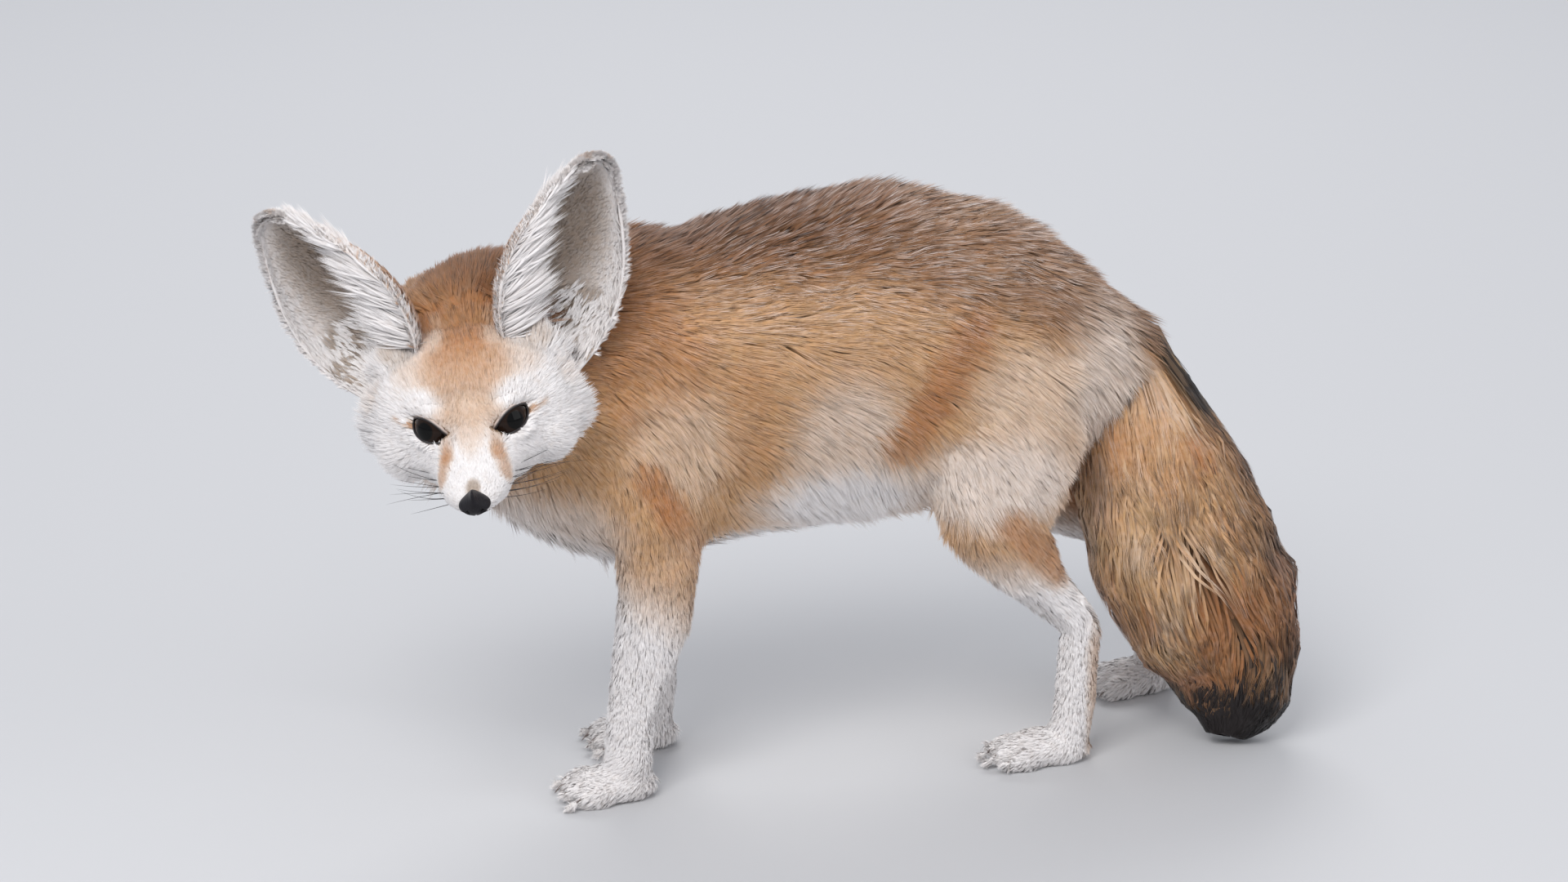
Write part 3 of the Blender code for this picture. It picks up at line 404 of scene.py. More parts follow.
class Paint:
    def __init__(self, name):
        self.material = bpy.data.materials.new(name)
        self.material.use_nodes = True
        self.tree = self.material.node_tree
        self.shader = self.tree.nodes["Principled BSDF"]

    def add(self, kind, settings, values, out=0):
        node = self.tree.nodes.new(kind)
        for name, value in settings.items():
            if name == "stops":
                ramp = node.color_ramp
                while len(ramp.elements) < len(value):
                    ramp.elements.new(0.5)
                for element, (place, colour) in zip(ramp.elements, value):
                    element.position, element.color = place, (*colour, 1)
            else:
                setattr(node, name, value)
        self.put(node, values)
        return Link(self, node.outputs[out])

    def put(self, node, values):
        for name, value in values.items():
            if isinstance(value, Link):
                self.tree.links.new(value.socket, node.inputs[name])
            else:
                node.inputs[name].default_value = value

    def mix(self, factor, under, over):
        colours = [c if isinstance(c, Link) else (*c, 1) for c in (under, over)]
        return self.add("ShaderNodeMix", {"data_type": "RGBA"}, {0: factor, 6: colours[0], 7: colours[1]}, 2)

    def read(self, name):
        return self.add("ShaderNodeAttribute", {"attribute_name": name}, {}, "Fac")

    def places(self):
        return self.add("ShaderNodeTexCoord", {}, {}, "Object")

    def noise(self, scale, detail=2.0, rough=0.5):
        values = {"Vector": self.places(), "Scale": scale, "Detail": detail, "Roughness": rough}
        return self.add("ShaderNodeTexNoise", {}, values)

    def bump(self, height, strength, distance):
        return self.add("ShaderNodeBump", {}, {"Height": height, "Strength": strength, "Distance": distance})

    def shade(self, **values):
        self.put(self.shader, {name.replace("_", " "): value for name, value in values.items()})
        return self.material


coatColours = {
    "sand": (0.68, 0.43, 0.21),
    "rust": (0.50, 0.19, 0.052),
    "pale": (0.88, 0.85, 0.84),
    "black": (0.012, 0.008, 0.008),
    "root": (0.42, 0.24, 0.13),
}


def coatColour(paint):
    chance, share = paint.read("chance"), paint.read("share")
    broad, fine = paint.noise(70, 3.0), paint.noise(420, 2.0)
    rust = (paint.read("rust") + (broad - 0.5) * 0.55 * paint.read("rust") + (chance - 0.5) * 0.22).clamped()
    pale = (paint.read("pale") + (fine - 0.5) * 0.3).clamped()
    colour = paint.mix(rust, coatColours["sand"], coatColours["rust"])
    colour = paint.mix(pale, colour, coatColours["pale"])
    colour = paint.mix((1 - share) * (1 - pale * 0.8) * 0.4, colour, coatColours["root"])
    colour = paint.mix(paint.read("black"), colour, coatColours["black"])
    bright = 0.80 + share * 0.16 + chance * 0.12 + fine * 0.08
    return paint.add("ShaderNodeVectorMath", {"operation": "SCALE"}, {0: colour, "Scale": bright})


def coatPaint():
    paint = Paint("coat_hair")
    constants = {"Specular_IOR_Level": 0.28, "Sheen_Weight": 0.25, "Sheen_Roughness": 0.5}
    return paint.shade(Base_Color=coatColour(paint), Roughness=0.62, **constants)


def hidePaint():
    paint = Paint("hide")
    height = paint.noise(1500, 3.0, 0.7)
    return paint.shade(Base_Color=coatColour(paint), Roughness=0.8, Normal=paint.bump(height, 0.5, 0.0006))


hairPaint, skinPaint = coatPaint(), hidePaint()

headForm = {
    "skull": [
        (-60, 0, -8, 10, 10, 10), (-54, 0, -8, 24, 22, 18), (-42, 0, -9, 34, 30, 24), (-30, 0, -10, 39, 34, 26),
        (-18, 0, -11, 41, 34, 24), (-8, 0, -12, 35, 29.5, 21), (0, 0, -13, 26, 24.5, 16), (7, 0, -13, 19, 18, 13),
        (14, 0, -13.5, 15.4, 13, 10.5), (22, 0, -14, 13.6, 9.2, 8.8), (29, 0, -14.2, 11.4, 6.8, 6.6),
        (34, 0, -14.2, 8.2, 5.4, 5.0), (37.5, 0, -13.8, 4.2, 3.2, 3.2),
    ],
    "jaw": [
        (-12, 0, -24, 16, 9, 8), (4, 0, -22.5, 12, 7, 5.5), (18, 0, -21.5, 9.5, 5, 4.2),
        (26, 0, -19.8, 6.0, 3.2, 3.0), (30, 0, -19.2, 3, 2, 1.8),
    ],
    # centre, radii, turn, each on both sides
    "balls": [
        ((-17, 21, -13), (19, 20, 17), (0, 0, 24)),
        ((-6, 13.5, 5.0), (9, 9, 5.5), (0, 12, 20)),
        ((-33, 24, 8), (12, 15, 13), (-30, 0, 0)),
        ((18, 6.8, -15.8), (12.5, 5.6, 5.2), (0, 0, 8)),
        ((-46, 0, 8), (26, 24, 20), (0, 0, 0)),
    ],
    # one more between the head and the nape, in the body's own places
    "nape": ((-127, -14, 182), (24, 27, 22)),
}
# how far the solids swell to meet, how far the skin lies below the coat, and the height of the soles
skinForm = {"overlap": 0.4, "voxel": 0.95, "kept": 0.30, "under": 0.3, "sole": 0.4}
tailForm = {
    "rows": [
        (136, -2, 162, 18, 14, 20), (140, -5, 142, 26, 19, 27), (145, -9, 118, 33, 29, 33),
        (151, -14, 94, 38, 36, 36), (158, -19, 70, 39, 38, 37), (168, -24, 47, 35, 34, 33),
        (173, -29, 29, 27, 27, 27), (172, -33, 14, 16, 20, 20), (169, -35, 4, 5, 8, 8),
    ],
    "front": (1, 0, 0.3),
    "core": 0.46,
    "steps": 240,
}


def headSolids(bm):
    for name, count, sides in (("skull", 90, 64), ("jaw", 40, 36)):
        places, faces = closedRings(loft(headForm[name], (0, 0, 1), count, sides))
        addForm(bm, fromHead(places), faces)
    for centre, radii, turn in headForm["balls"]:
        for side in (-1, 1):
            place = (centre[0], side * centre[1], centre[2])
            rings = ballRings(place, radii, (side * turn[0], turn[1], side * turn[2]))
            places, faces = closedRings(rings)
            addForm(bm, fromHead(places), faces)
    addForm(bm, *closedRings(ballRings(*headForm["nape"])))


def smoothed(obj, groups):
    for name, (weights, rounds) in groups.items():
        group = obj.vertex_groups.new(name=name)
        for k in range(11):
            chosen = np.nonzero(np.round(weights * 10) == k)[0]
            if k and len(chosen):
                group.add(chosen.tolist(), k / 10, "REPLACE")
        soft = obj.modifiers.new(name, "SMOOTH")
        soft.factor, soft.iterations, soft.vertex_group = 0.5, rounds, name


def appliedMesh(obj):
    graph = bpy.context.evaluated_depsgraph_get()
    mesh = bpy.data.meshes.new_from_object(obj.evaluated_get(graph))
    bpy.data.objects.remove(obj)
    return mesh


def readMesh(mesh):
    count = len(mesh.vertices)
    places = np.empty(count * 3, np.float32)
    mesh.vertices.foreach_get("co", places)
    normals = np.empty(count * 3, np.float32)
    mesh.vertices.foreach_get("normal", normals)
    return places.reshape(-1, 3).astype(float) / mm - bodyShift, normals.reshape(-1, 3).astype(float)


def eyeAxes(side):
    # centre of the eyeball, and the ways out of, along and across the slit between the lids
    out = unit(np.array((0.80, side * 0.52, 0.28)))
    along = np.array((0.0, side * 0.93, 0.37))
    along = unit(along - out * (along @ out))
    across = np.cross(out, along) * side
    centre = np.array((5.0, side * eyeSize["spread"], 1.4)) - out * (eyeSize["radius"] * eyeSize["scale"] - 0.2)
    return centre, out, along, across


def eyeAngles(places, side):
    # distance from the eye's centre, and degrees along and across the slit, of places in the head's frame
    centre, out, along, across = eyeAxes(side)
    away = places - centre
    reach = np.linalg.norm(away, axis=1)
    far = np.degrees(np.arccos(np.clip(away @ out / np.maximum(reach, 1e-6), -1, 1)))
    a, b = away @ along, away @ across
    flat = np.maximum(np.hypot(a, b), 1e-6)
    return reach / eyeSize["scale"], far * a / flat, far * b / flat


def slitShare(places, side, grown):
    # 1 on the almond of the slit made larger by grown degrees, less inside it
    reach, a, b = eyeAngles(places, side)
    high = np.where(b > 0, eyeSize["above"], eyeSize["below"])
    return reach, np.hypot(a / (eyeSize["halfLength"] + grown), b / (high + grown))


def bodySkin():
    bm = bmesh.new()
    for node in fleshNodes:
        part = bmesh.new()
        part.from_mesh(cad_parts[node].data)
        bmesh.ops.remove_doubles(part, verts=part.verts, dist=1e-6)
        part.normal_update()
        for vert in part.verts:
            vert.co += vert.normal * skinForm["overlap"] * mm
        held = bpy.data.meshes.new("held")
        part.to_mesh(held)
        bm.from_mesh(held)
        part.free()
        bpy.data.meshes.remove(held)
    headSolids(bm)
    mesh = bpy.data.meshes.new("body")
    bm.to_mesh(mesh)
    bm.free()
    body = linked("body", mesh)
    whole = body.modifiers.new("whole", "REMESH")
    whole.mode = "VOXEL"
    whole.voxel_size = skinForm["voxel"] * mm
    mesh = appliedMesh(body)
    places = readMesh(mesh)[0]
    inHead = np.linalg.norm(toHead(places) / (50, 54, 52), axis=1)
    head = 1 - step(0.85, 1.0, inHead)
    leg = 1 - step(85, 105, places[:, 2])
    foot = 1 - step(20, 30, places[:, 2])
    body = linked("body", mesh)
    trunk, fine = np.clip(1 - head - leg, 0, 1), np.clip(head + foot, 0, 1)
    smoothed(body, {"trunk": (trunk, 90), "leg": (np.clip(leg - foot, 0, 1), 16), "fine": (fine, 12)})
    coarse = body.vertex_groups.new(name="coarse")
    coarse.add(np.nonzero(head + foot < 0.5)[0].tolist(), 1.0, "REPLACE")
    thin = body.modifiers.new("thin", "DECIMATE")
    thin.ratio, thin.vertex_group, thin.vertex_group_factor = skinForm["kept"], "coarse", 4.0
    mesh = appliedMesh(body)
    places, normals = readMesh(mesh)
    q = toHead(places - normals * (coatAt(places)[:, 3] + skinForm["under"])[:, None])
    for side in (-1, 1):
        centre = eyeAxes(side)[0]
        reach, inner = slitShare(q, side, 5)
        dome = eyeSize["dome"] - 1.6 * np.maximum(inner - 1.7, 0)
        lifted = np.where((inner > 1) & (inner < 3.0), np.maximum(reach, dome), reach)
        sunk = np.where(inner < 1.05, np.minimum(lifted, eyeSize["socket"]), lifted)
        near = reach < eyeSize["room"]
        q[near] = centre + (q[near] - centre) * (sunk / np.maximum(reach, 1e-6))[near, None]
    places = fromHead(q)
    places[:, 2] = np.maximum(places[:, 2], skinForm["sole"])
    setPlaces(mesh, places)
    mesh.update()
    return mesh


earForm = {
    # distance up, outer edge, inner edge, depth of the cup, backward bend
    "rows": [
        (-16, -10, 9, 10, 2), (-5, -17, 13, 14, 1), (8, -22, 20, 17, 0), (24, -23.5, 24, 16, -1),
        (40, -21, 23, 13, -2), (54, -16, 18.5, 9.5, -3), (65, -10.8, 13.6, 6, -4), (73, -6.6, 8.8, 3.4, -5),
        (76, -4.2, 6.0, 2.0, -5.3), (77.5, -1.4, 2.8, 0.8, -5.4),
    ],
    "splay": {1: 26.0, -1: 31.0},
    "stretch": {1: 0.96, -1: 0.91},
    "root": {1: (-30.0, 28.0, 10.0), -1: (-30.0, -30.5, 10.0)},
    "thickness": 1.0,
    "steps": (70, 44),
}


def earAxes(side):
    splay = math.radians(earForm["splay"][side])
    up = unit(np.array((-0.10, side * math.sin(splay), math.cos(splay))))
    ahead = np.array((0.93, side * 0.36, 0.0))
    ahead = unit(ahead - up * (ahead @ up))
    inward = np.cross(up, ahead) * -side
    root = np.array(earForm["root"][side])
    return np.array((inward, ahead, up * earForm["stretch"][side])), root


def earSheet(side):
    rows, cols = earForm["steps"]
    read = smoothRows(earForm["rows"], rows)
    turn = math.pi * (1 - np.linspace(0, 1, cols))
    up, outer, inner, depth, bend = (read[:, k : k + 1] for k in range(5))
    across = (inner + outer) / 2 + (inner - outer) / 2 * np.cos(turn)
    ahead = bend - depth * np.sin(turn) ** 0.8
    sheet = np.stack((across, ahead, up + 0 * across), axis=-1)
    axes, root = earAxes(side)
    sheet = fromHead(sheet @ axes + root)
    normal = unit(np.cross(np.gradient(sheet, axis=1), np.gradient(sheet, axis=0)))
    if (normal[rows // 2, cols // 2] @ (axes[1] @ headRows)) < 0:
        normal = -normal
    return sheet, normal


def earMarks(across, share, inner):
    # across runs from the outer edge to the inner one, share from the root to the tip
    edge = np.abs(across - 0.5) * 2
    if inner:
        m = np.tile((0.0, 0.86, 0.06), (len(across), 1))
        # the grey in the middle of the cup and in a patch low on its outer side is painted shade in the ear's hollow,
        # laid over its white hair
        deep = np.stack((across, share, 0 * share), axis=-1)
        m = layer(m, (0.0, 0.45, 0.58), spot(deep, (0.50, 0.50, 0), (0.24, 0.26, 1), 0.6))
        m = layer(m, (0.0, 0.40, 0.62), spot(deep, (0.34, 0.24, 0), (0.18, 0.07, 1), 0.6))
        return layer(m, (0.0, 0.98, 0.0), step(0.66, 0.92, edge))
    m = np.tile((0.48, 0.20, 0.0), (len(across), 1))
    m = layer(m, (0.70, 0.05, 0.04), step(0.6, 0.9, across) * (1 - step(0.3, 0.7, share)))
    m = layer(m, (0.15, 0.6, 0.0), step(0.5, 0.9, share) * 0.7)
    return layer(m, (0.05, 0.92, 0.0), np.maximum(step(0.80, 0.93, edge), step(0.86, 0.94, share)))


def earMesh(side):
    sheet, normal = earSheet(side)
    rows, cols = sheet.shape[:2]
    half = earForm["thickness"] / 2
    places = np.concatenate(((sheet + normal * half).reshape(-1, 3), (sheet - normal * half).reshape(-1, 3)))
    count = rows * cols
    faces = gridFaces(rows, cols, False)
    faces += [[a + count for a in face[::-1]] for face in gridFaces(rows, cols, False)]
    rim = [k * cols for k in range(rows)] + [(rows - 1) * cols + k for k in range(1, cols)]
    rim += [k * cols + cols - 1 for k in range(rows - 2, -1, -1)] + list(range(cols - 2, 0, -1))
    for a, b in zip(rim, rim[1:] + rim[:1]):
        faces.append([b, a, a + count, b + count])
    return meshOf("ear", places, faces)


def tailPoints(down, angle, reach):
    steps = np.linspace(0, 1, tailForm["steps"])
    read = smoothRows(tailForm["rows"], tailForm["steps"])
    along = unit(np.gradient(read[:, :3], axis=0))
    front = np.array(tailForm["front"], float)
    ahead = unit(front - along * (along @ front)[:, None])
    beside = np.cross(along, ahead)

    def at(table):
        return np.stack([np.interp(down, steps, column) for column in table.T], axis=-1)

    sizes = at(read[:, 3:])
    c, s = np.cos(angle), np.sin(angle)
    fore = np.where(s > 0, sizes[..., 1], sizes[..., 2]) * s
    out = at(beside) * (sizes[..., 0] * c)[..., None] + at(ahead) * fore[..., None]
    return at(read[:, :3]) + out * reach[..., None], out


def tailMesh():
    down, angle = np.meshgrid(np.linspace(0, 0.93, 60), circle(40), indexing="ij")
    return meshOf("tail", *closedRings(tailPoints(down, angle, np.full_like(down, tailForm["core"]))[0]))


def tailMarks(down, angle):
    # the tail is buff, browner on its back edge and lower down, with a black tip
    flat = down.ravel()
    back = step(0.1, 0.9, np.sin(angle.ravel()))
    m = np.tile((0.32, 0.05, 0.0), (len(flat), 1))
    m = layer(m, (0.22, 0.16, 0.08), (1 - step(0.05, 0.25, flat)) * (1 - back))
    m = layer(m, (0.80, 0.0, 0.62), back * step(0.02, 0.2, flat) * 0.85)
    ragged = flat + 0.03 * np.sin(3 * angle.ravel() + 1) + 0.02 * np.sin(8 * angle.ravel())
    m = layer(m, (0.95, 0.0, 0.56), step(0.40, 0.66, ragged) * 0.8)
    return layer(m, (0.1, 0.0, 1.0), step(0.69, 0.84, ragged))


def joinedSkin():
    body = bodySkin()
    print("body skin", len(body.polygons))
    bm = bmesh.new()
    for mesh in (body, earMesh(1), earMesh(-1), tailMesh()):
        bm.from_mesh(mesh)
    mesh = bpy.data.meshes.new("skin")
    bm.to_mesh(mesh)
    bm.free()
    mesh.shade_smooth()
    places = readMesh(mesh)[0]
    marks = marksAt(places)
    first = len(body.vertices)
    ears = 2 * 2 * earForm["steps"][0] * earForm["steps"][1]
    share, across = (a.ravel() for a in np.meshgrid(*(np.linspace(0, 1, n) for n in earForm["steps"]), indexing="ij"))
    faces = [earMarks(across, share, True), earMarks(across, share, False)]
    marks[first : first + ears] = np.concatenate(faces * 2)
    marks[first + ears :] = (0.6, 0.0, 0.3)
    q = toHead(places)
    for side in (-1, 1):
        reach, inner = slitShare(q, side, 8)
        marks = layer(marks, (0.0, 0.0, 0.95), (1 - step(0.95, 1.1, inner)) * (reach < 10.3))
    setMarks(mesh, marks)
    setPointValues(mesh, "share", np.full(len(places), 0.35))
    setPointValues(mesh, "chance", np.full(len(places), 0.4))
    return pieceOf("skin", mesh, skinPaint, skinNodes), body


skin, bodyMesh = joinedSkin()
print("skin", len(skin.data.polygons))

# half the width of a tuft's patch in the bake map, the triangles a piece may have, and its height off the floor
bakePatch, pieceTriangles, floorGap = 0.0015, 195000, 0.15
# "bare" is the middle of the place without coat round the pad
noseForm = {"centre": (36.2, 0.0, -13.0), "radii": (4.4, 5.9, 4.6), "pitch": 26.0, "bare": (37.2, 0, -13.6)}


def tuftPattern(rows):
    # strips of two points a row, then a row of four and three tips
    faces = []
    for k in range(rows - 3):
        a = 2 * k
        faces += [(a, a + 1, a + 3), (a, a + 3, a + 2)]
    a, b = 2 * (rows - 3), 2 * (rows - 2)
    faces += [(a, b + 1, b), (a, a + 1, b + 1), (a + 1, b + 2, b + 1), (a + 1, b + 3, b + 2)]
    faces += [(b, b + 1, b + 4), (b + 1, b + 2, b + 5), (b + 2, b + 3, b + 6)]
    return np.array(faces)


# shares of a tuft's width: its twist, the lift of its middle, and the splay and rise of its tips
tuftForm = {"twist": 0.45, "root": 0.55, "lift": 0.22, "splay": 1.05, "stray": 0.35, "rise": 0.18, "tilt": 0.25}


def tuftVerts(paths, outward, widths):
    # places, lean to a side, share of the length and tone of the tip, of each tuft's own points
    count, rows = paths.shape[:2]
    along = unit(np.gradient(paths, axis=1))
    side = unit(np.cross(along[:, 0], outward) + tuftForm["twist"] * draw.normal(size=(count, 1)) * outward)[:, None]
    wide = widths[:, None, None] * 0.5
    shares = np.linspace(0, 1, rows)
    verts, lean, share, tip = [], [], [], []

    def add(places, sign, reached, tone):
        verts.append(places)
        lean.append(np.full(count, float(sign)))
        share.append(reached)
        tip.append(tone)

    for k in range(rows - 2):
        grow = tuftForm["root"] + (1 - tuftForm["root"]) * min(1.0, 1.6 * k / max(rows - 2, 1))
        for sign in (-1, 1):
            add(paths[:, k] + (side * wide * grow * sign)[:, 0], sign, shares[k], np.zeros(count))
    for sign in (-1, -0.34, 0.34, 1):
        lift = tuftForm["lift"] * (1 - abs(sign)) * widths[:, None] * outward
        place = paths[:, -2] + (side * wide * sign * tuftForm["splay"])[:, 0] + lift
        add(place, sign, shares[-2], np.full(count, 0.2))
    last = paths[:, -1] - paths[:, -2]
    for sign in (-1, 0, 1):
        spread = sign * tuftForm["splay"] + draw.normal(size=(count, 1)) * tuftForm["stray"]
        long = draw.uniform(*((0.62, 1.0) if sign else (0.85, 1.05)), size=(count, 1))
        rise = draw.normal(size=(count, 1)) * tuftForm["rise"] * widths[:, None]
        place = paths[:, -2] + last * long + side[:, 0] * wide[:, 0] * spread + outward * rise
        add(place, sign, 1.0, draw.uniform(0.1, 1.6, size=count))
    blade = unit(np.cross(side[:, 0], along[:, -1]))
    blade *= np.where((blade * outward).sum(1, keepdims=True) < 0, -1, 1)
    lean = np.stack(lean, axis=1)
    tilt = lean[..., None] * side * tuftForm["tilt"]
    normals = unit(outward[:, None] * 0.75 + blade[:, None] * 0.25 + tilt)
    return np.stack(verts, axis=1), normals, lean[0], np.array(share), np.stack(tip, axis=1)


def tuftMesh(name, places, pattern):
    mesh = bpy.data.meshes.new(name)
    count, each = places.shape[:2]
    mesh.vertices.add(count * each)
    places = places.reshape(-1, 3)
    places[:, 2] = np.maximum(places[:, 2], floorGap)
    setPlaces(mesh, places)
    loops = (pattern[None] + (np.arange(count) * each)[:, None, None]).reshape(-1)
    mesh.loops.add(len(loops))
    mesh.loops.foreach_set("vertex_index", loops.astype(np.int32))
    mesh.polygons.add(len(loops) // 3)
    mesh.polygons.foreach_set("loop_start", np.arange(0, len(loops), 3, dtype=np.int32))
    mesh.polygons.foreach_set("use_smooth", np.ones(len(loops) // 3, bool))
    mesh.update(calc_edges=True)
    return mesh, loops


def growTufts(name, paths, outward, widths, marks, patches, tips):
    # paths: root to tip places of each tuft; tips: rust, pale and black added at the tips
    verts, normals, lean, share, tip = tuftVerts(paths, outward, widths)
    pattern = tuftPattern(paths.shape[1])
    count, each = verts.shape[:2]
    parts = max(1, math.ceil(count / (pieceTriangles // len(pattern))))
    corner = np.stack((lean, share * 2 - 1), axis=-1)
    for part, chosen in enumerate(np.array_split(np.arange(count), parts)):
        n = len(chosen)
        mesh, loops = tuftMesh(name, verts[chosen], pattern)
        uv = mesh.uv_layers.new(name="OFBake")
        spread = patches[chosen][:, None] + corner * bakePatch
        uv.data.foreach_set("uv", spread.reshape(-1, 2)[loops].astype(np.float32).ravel())
        setMarks(mesh, np.clip(marks[chosen][:, None] + tips[chosen][:, None] * tip[chosen][..., None], 0, 1))
        setPointValues(mesh, "share", np.tile(share, n))
        setPointValues(mesh, "chance", np.repeat(draw.uniform(size=n), each))
        mesh.normals_split_custom_set_from_vertices(normals[chosen].reshape(-1, 3))
        pieceOf(f"{name}_{part + 1}" if parts > 1 else name, mesh, hairPaint)
    print(name, count, "tufts in", parts)


def bakePlace(u, v, column, row):
    # the bake map has six by six tiles, with a margin round each
    return np.stack((column + 0.05 + 0.9 * u, row + 0.05 + 0.9 * v), axis=-1) / 6


def bakeTile(places, normals, tile):
    # six sides of a box round each part of the skin, each with its own tile of the bake map
    low, high = places.min(0), places.max(0)
    flat = (places - low) / np.maximum(high - low, 1e-6)
    axis = np.abs(normals).argmax(1)
    face = tile * 6 + axis * 2 + (normals[np.arange(len(places)), axis] > 0)
    u = np.where(axis == 0, flat[:, 1], flat[:, 0])
    v = np.where(axis == 2, flat[:, 1], flat[:, 2])
    return bakePlace(u, v, face % 6, face // 6)


def bodyRoots(mesh):
    places, normals = readMesh(mesh)
    mesh.calc_loop_triangles()
    corners = np.empty(len(mesh.loop_triangles) * 3, np.int32)
    mesh.loop_triangles.foreach_get("vertices", corners)
    corners = corners.reshape(-1, 3)
    a, b, c = (places[corners[:, k]] for k in range(3))
    area = np.linalg.norm(np.cross(b - a, c - a), axis=1) / 2
    density = coatAt((a + b + c) / 3)[:, 6]
    total = np.cumsum(area * density)
    count = int(total[-1])
    where = (np.arange(count) + draw.uniform(size=count)) / count * total[-1]
    tri = np.searchsorted(total, where)
    r, s = np.sqrt(draw.uniform(size=count)), draw.uniform(size=count)
    weights = np.stack((1 - r, r * (1 - s), r * s), axis=1)[..., None]
    spots = (np.stack((a[tri], b[tri], c[tri]), axis=1) * weights).sum(1)
    ups = unit((normals[corners[tri]] * weights).sum(1))
    return spots, ups


def bodyCoatTufts(mesh):
    spots, ups = bodyRoots(mesh)
    q = toHead(spots)
    keep = spots[:, 2] > 1.0
    lieExtra = np.zeros_like(spots)
    for side in (-1, 1):
        reach, inner = slitShare(q, side, 6)
        keep &= (inner > 1.0) | (reach > 11)
        centre, out = eyeAxes(side)[:2]
        away = q - centre
        away -= out * (away @ out)[:, None]
        pull = np.exp(-((reach - 9) / 7) ** 2)[:, None] * 0.9
        lieExtra += unit(away) @ headRows * pull
    keep &= np.linalg.norm((q - noseForm["bare"]) / (5.2, 6.0, 5.0), axis=1) > 1
    spots, ups, lieExtra, q = spots[keep], ups[keep], lieExtra[keep], q[keep]
    read = coatAt(spots)
    lie, depth, length, width = read[:, :3], read[:, 3], read[:, 4], read[:, 5]
    coarse, fine = waver(spots, 26, 3), waver(spots, 7, 4)
    calm = np.clip(length / 12, 0.35, 1)[:, None]
    lie = unit(lie) + lieExtra + calm * (0.16 * coarse + 0.16 * fine + 0.10 * draw.normal(size=spots.shape))
    lie = unit(lie - ups * (lie * ups).sum(1, keepdims=True))
    clump = 1 + 0.10 * fine[:, 0] + 0.06 * coarse[:, 1]
    length = length * draw.uniform(0.75, 1.15, len(spots)) * clump
    cheek = np.stack((q[:, 0], np.abs(q[:, 1]), q[:, 2]), axis=1)
    stand = 1 + 0.75 * spot(cheek, (-18, 40, -2), (14, 14, 20))
    height = depth * stand * draw.uniform(0.66, 1.04, len(spots)) * np.clip(clump, 0.8, 1.12)
    paths = []
    for s in (0.0, 0.45, 1.0):
        rise = height * (1 - (1 - s) ** 1.8) - 0.3 * (s == 0)
        paths.append(spots + lie * (length * s)[:, None] + ups * rise[:, None])
    paths = np.stack(paths, axis=1)
    marks = marksAt(paths[:, 1])
    chance = draw.uniform(size=len(spots))
    upper = step(160, 205, spots[:, 2]) * (marks[:, 1] < 0.6) * step(-100, -20, spots[:, 0])
    tips = np.zeros((len(spots), 3))
    tips[:, 1] = np.where(chance > 0.62, 0.55 * upper, 0) + 0.08
    tips[:, 2] = np.where(chance > 0.62, -0.3 * upper, 0)
    tick = (chance < 0.12) & (marks[:, 1] < 0.55)
    tips[:, 2] = np.where(tick, 0.45, tips[:, 2])
    crown = spot(q, (-30, 0, 28), (18, 16, 14)) > 0.4
    tips[:, 2] = np.where(crown & (chance < 0.22), 0.7, tips[:, 2])
    inHead = headReach(q) < 1.0
    leg = (spots[:, 2] < 100) & ~inHead
    for tile, (name, chosen) in enumerate((("coat_head", inHead), ("coat_legs", leg), ("coat_body", ~inHead & ~leg))):
        patches = bakeTile(spots[chosen], ups[chosen], tile)
        growTufts(name, paths[chosen], ups[chosen], width[chosen], marks[chosen], patches, tips[chosen])


bodyCoatTufts(bodyMesh)

earHair = {"back": 3800, "inside": 5200, "rim": 3000, "foot": 1000, "fringe": 4200}


def sheetAt(table, i, j):
    rows, cols = table.shape[:2]
    i, j = np.clip(i, 0, rows - 1.001), np.clip(j, 0, cols - 1.001)
    a, b = i.astype(int), j.astype(int)
    u, v = (i - a)[:, None], (j - b)[:, None]
    low = table[a, b] * (1 - v) + table[a, b + 1] * v
    high = table[a + 1, b] * (1 - v) + table[a + 1, b + 1] * v
    return low * (1 - u) + high * u


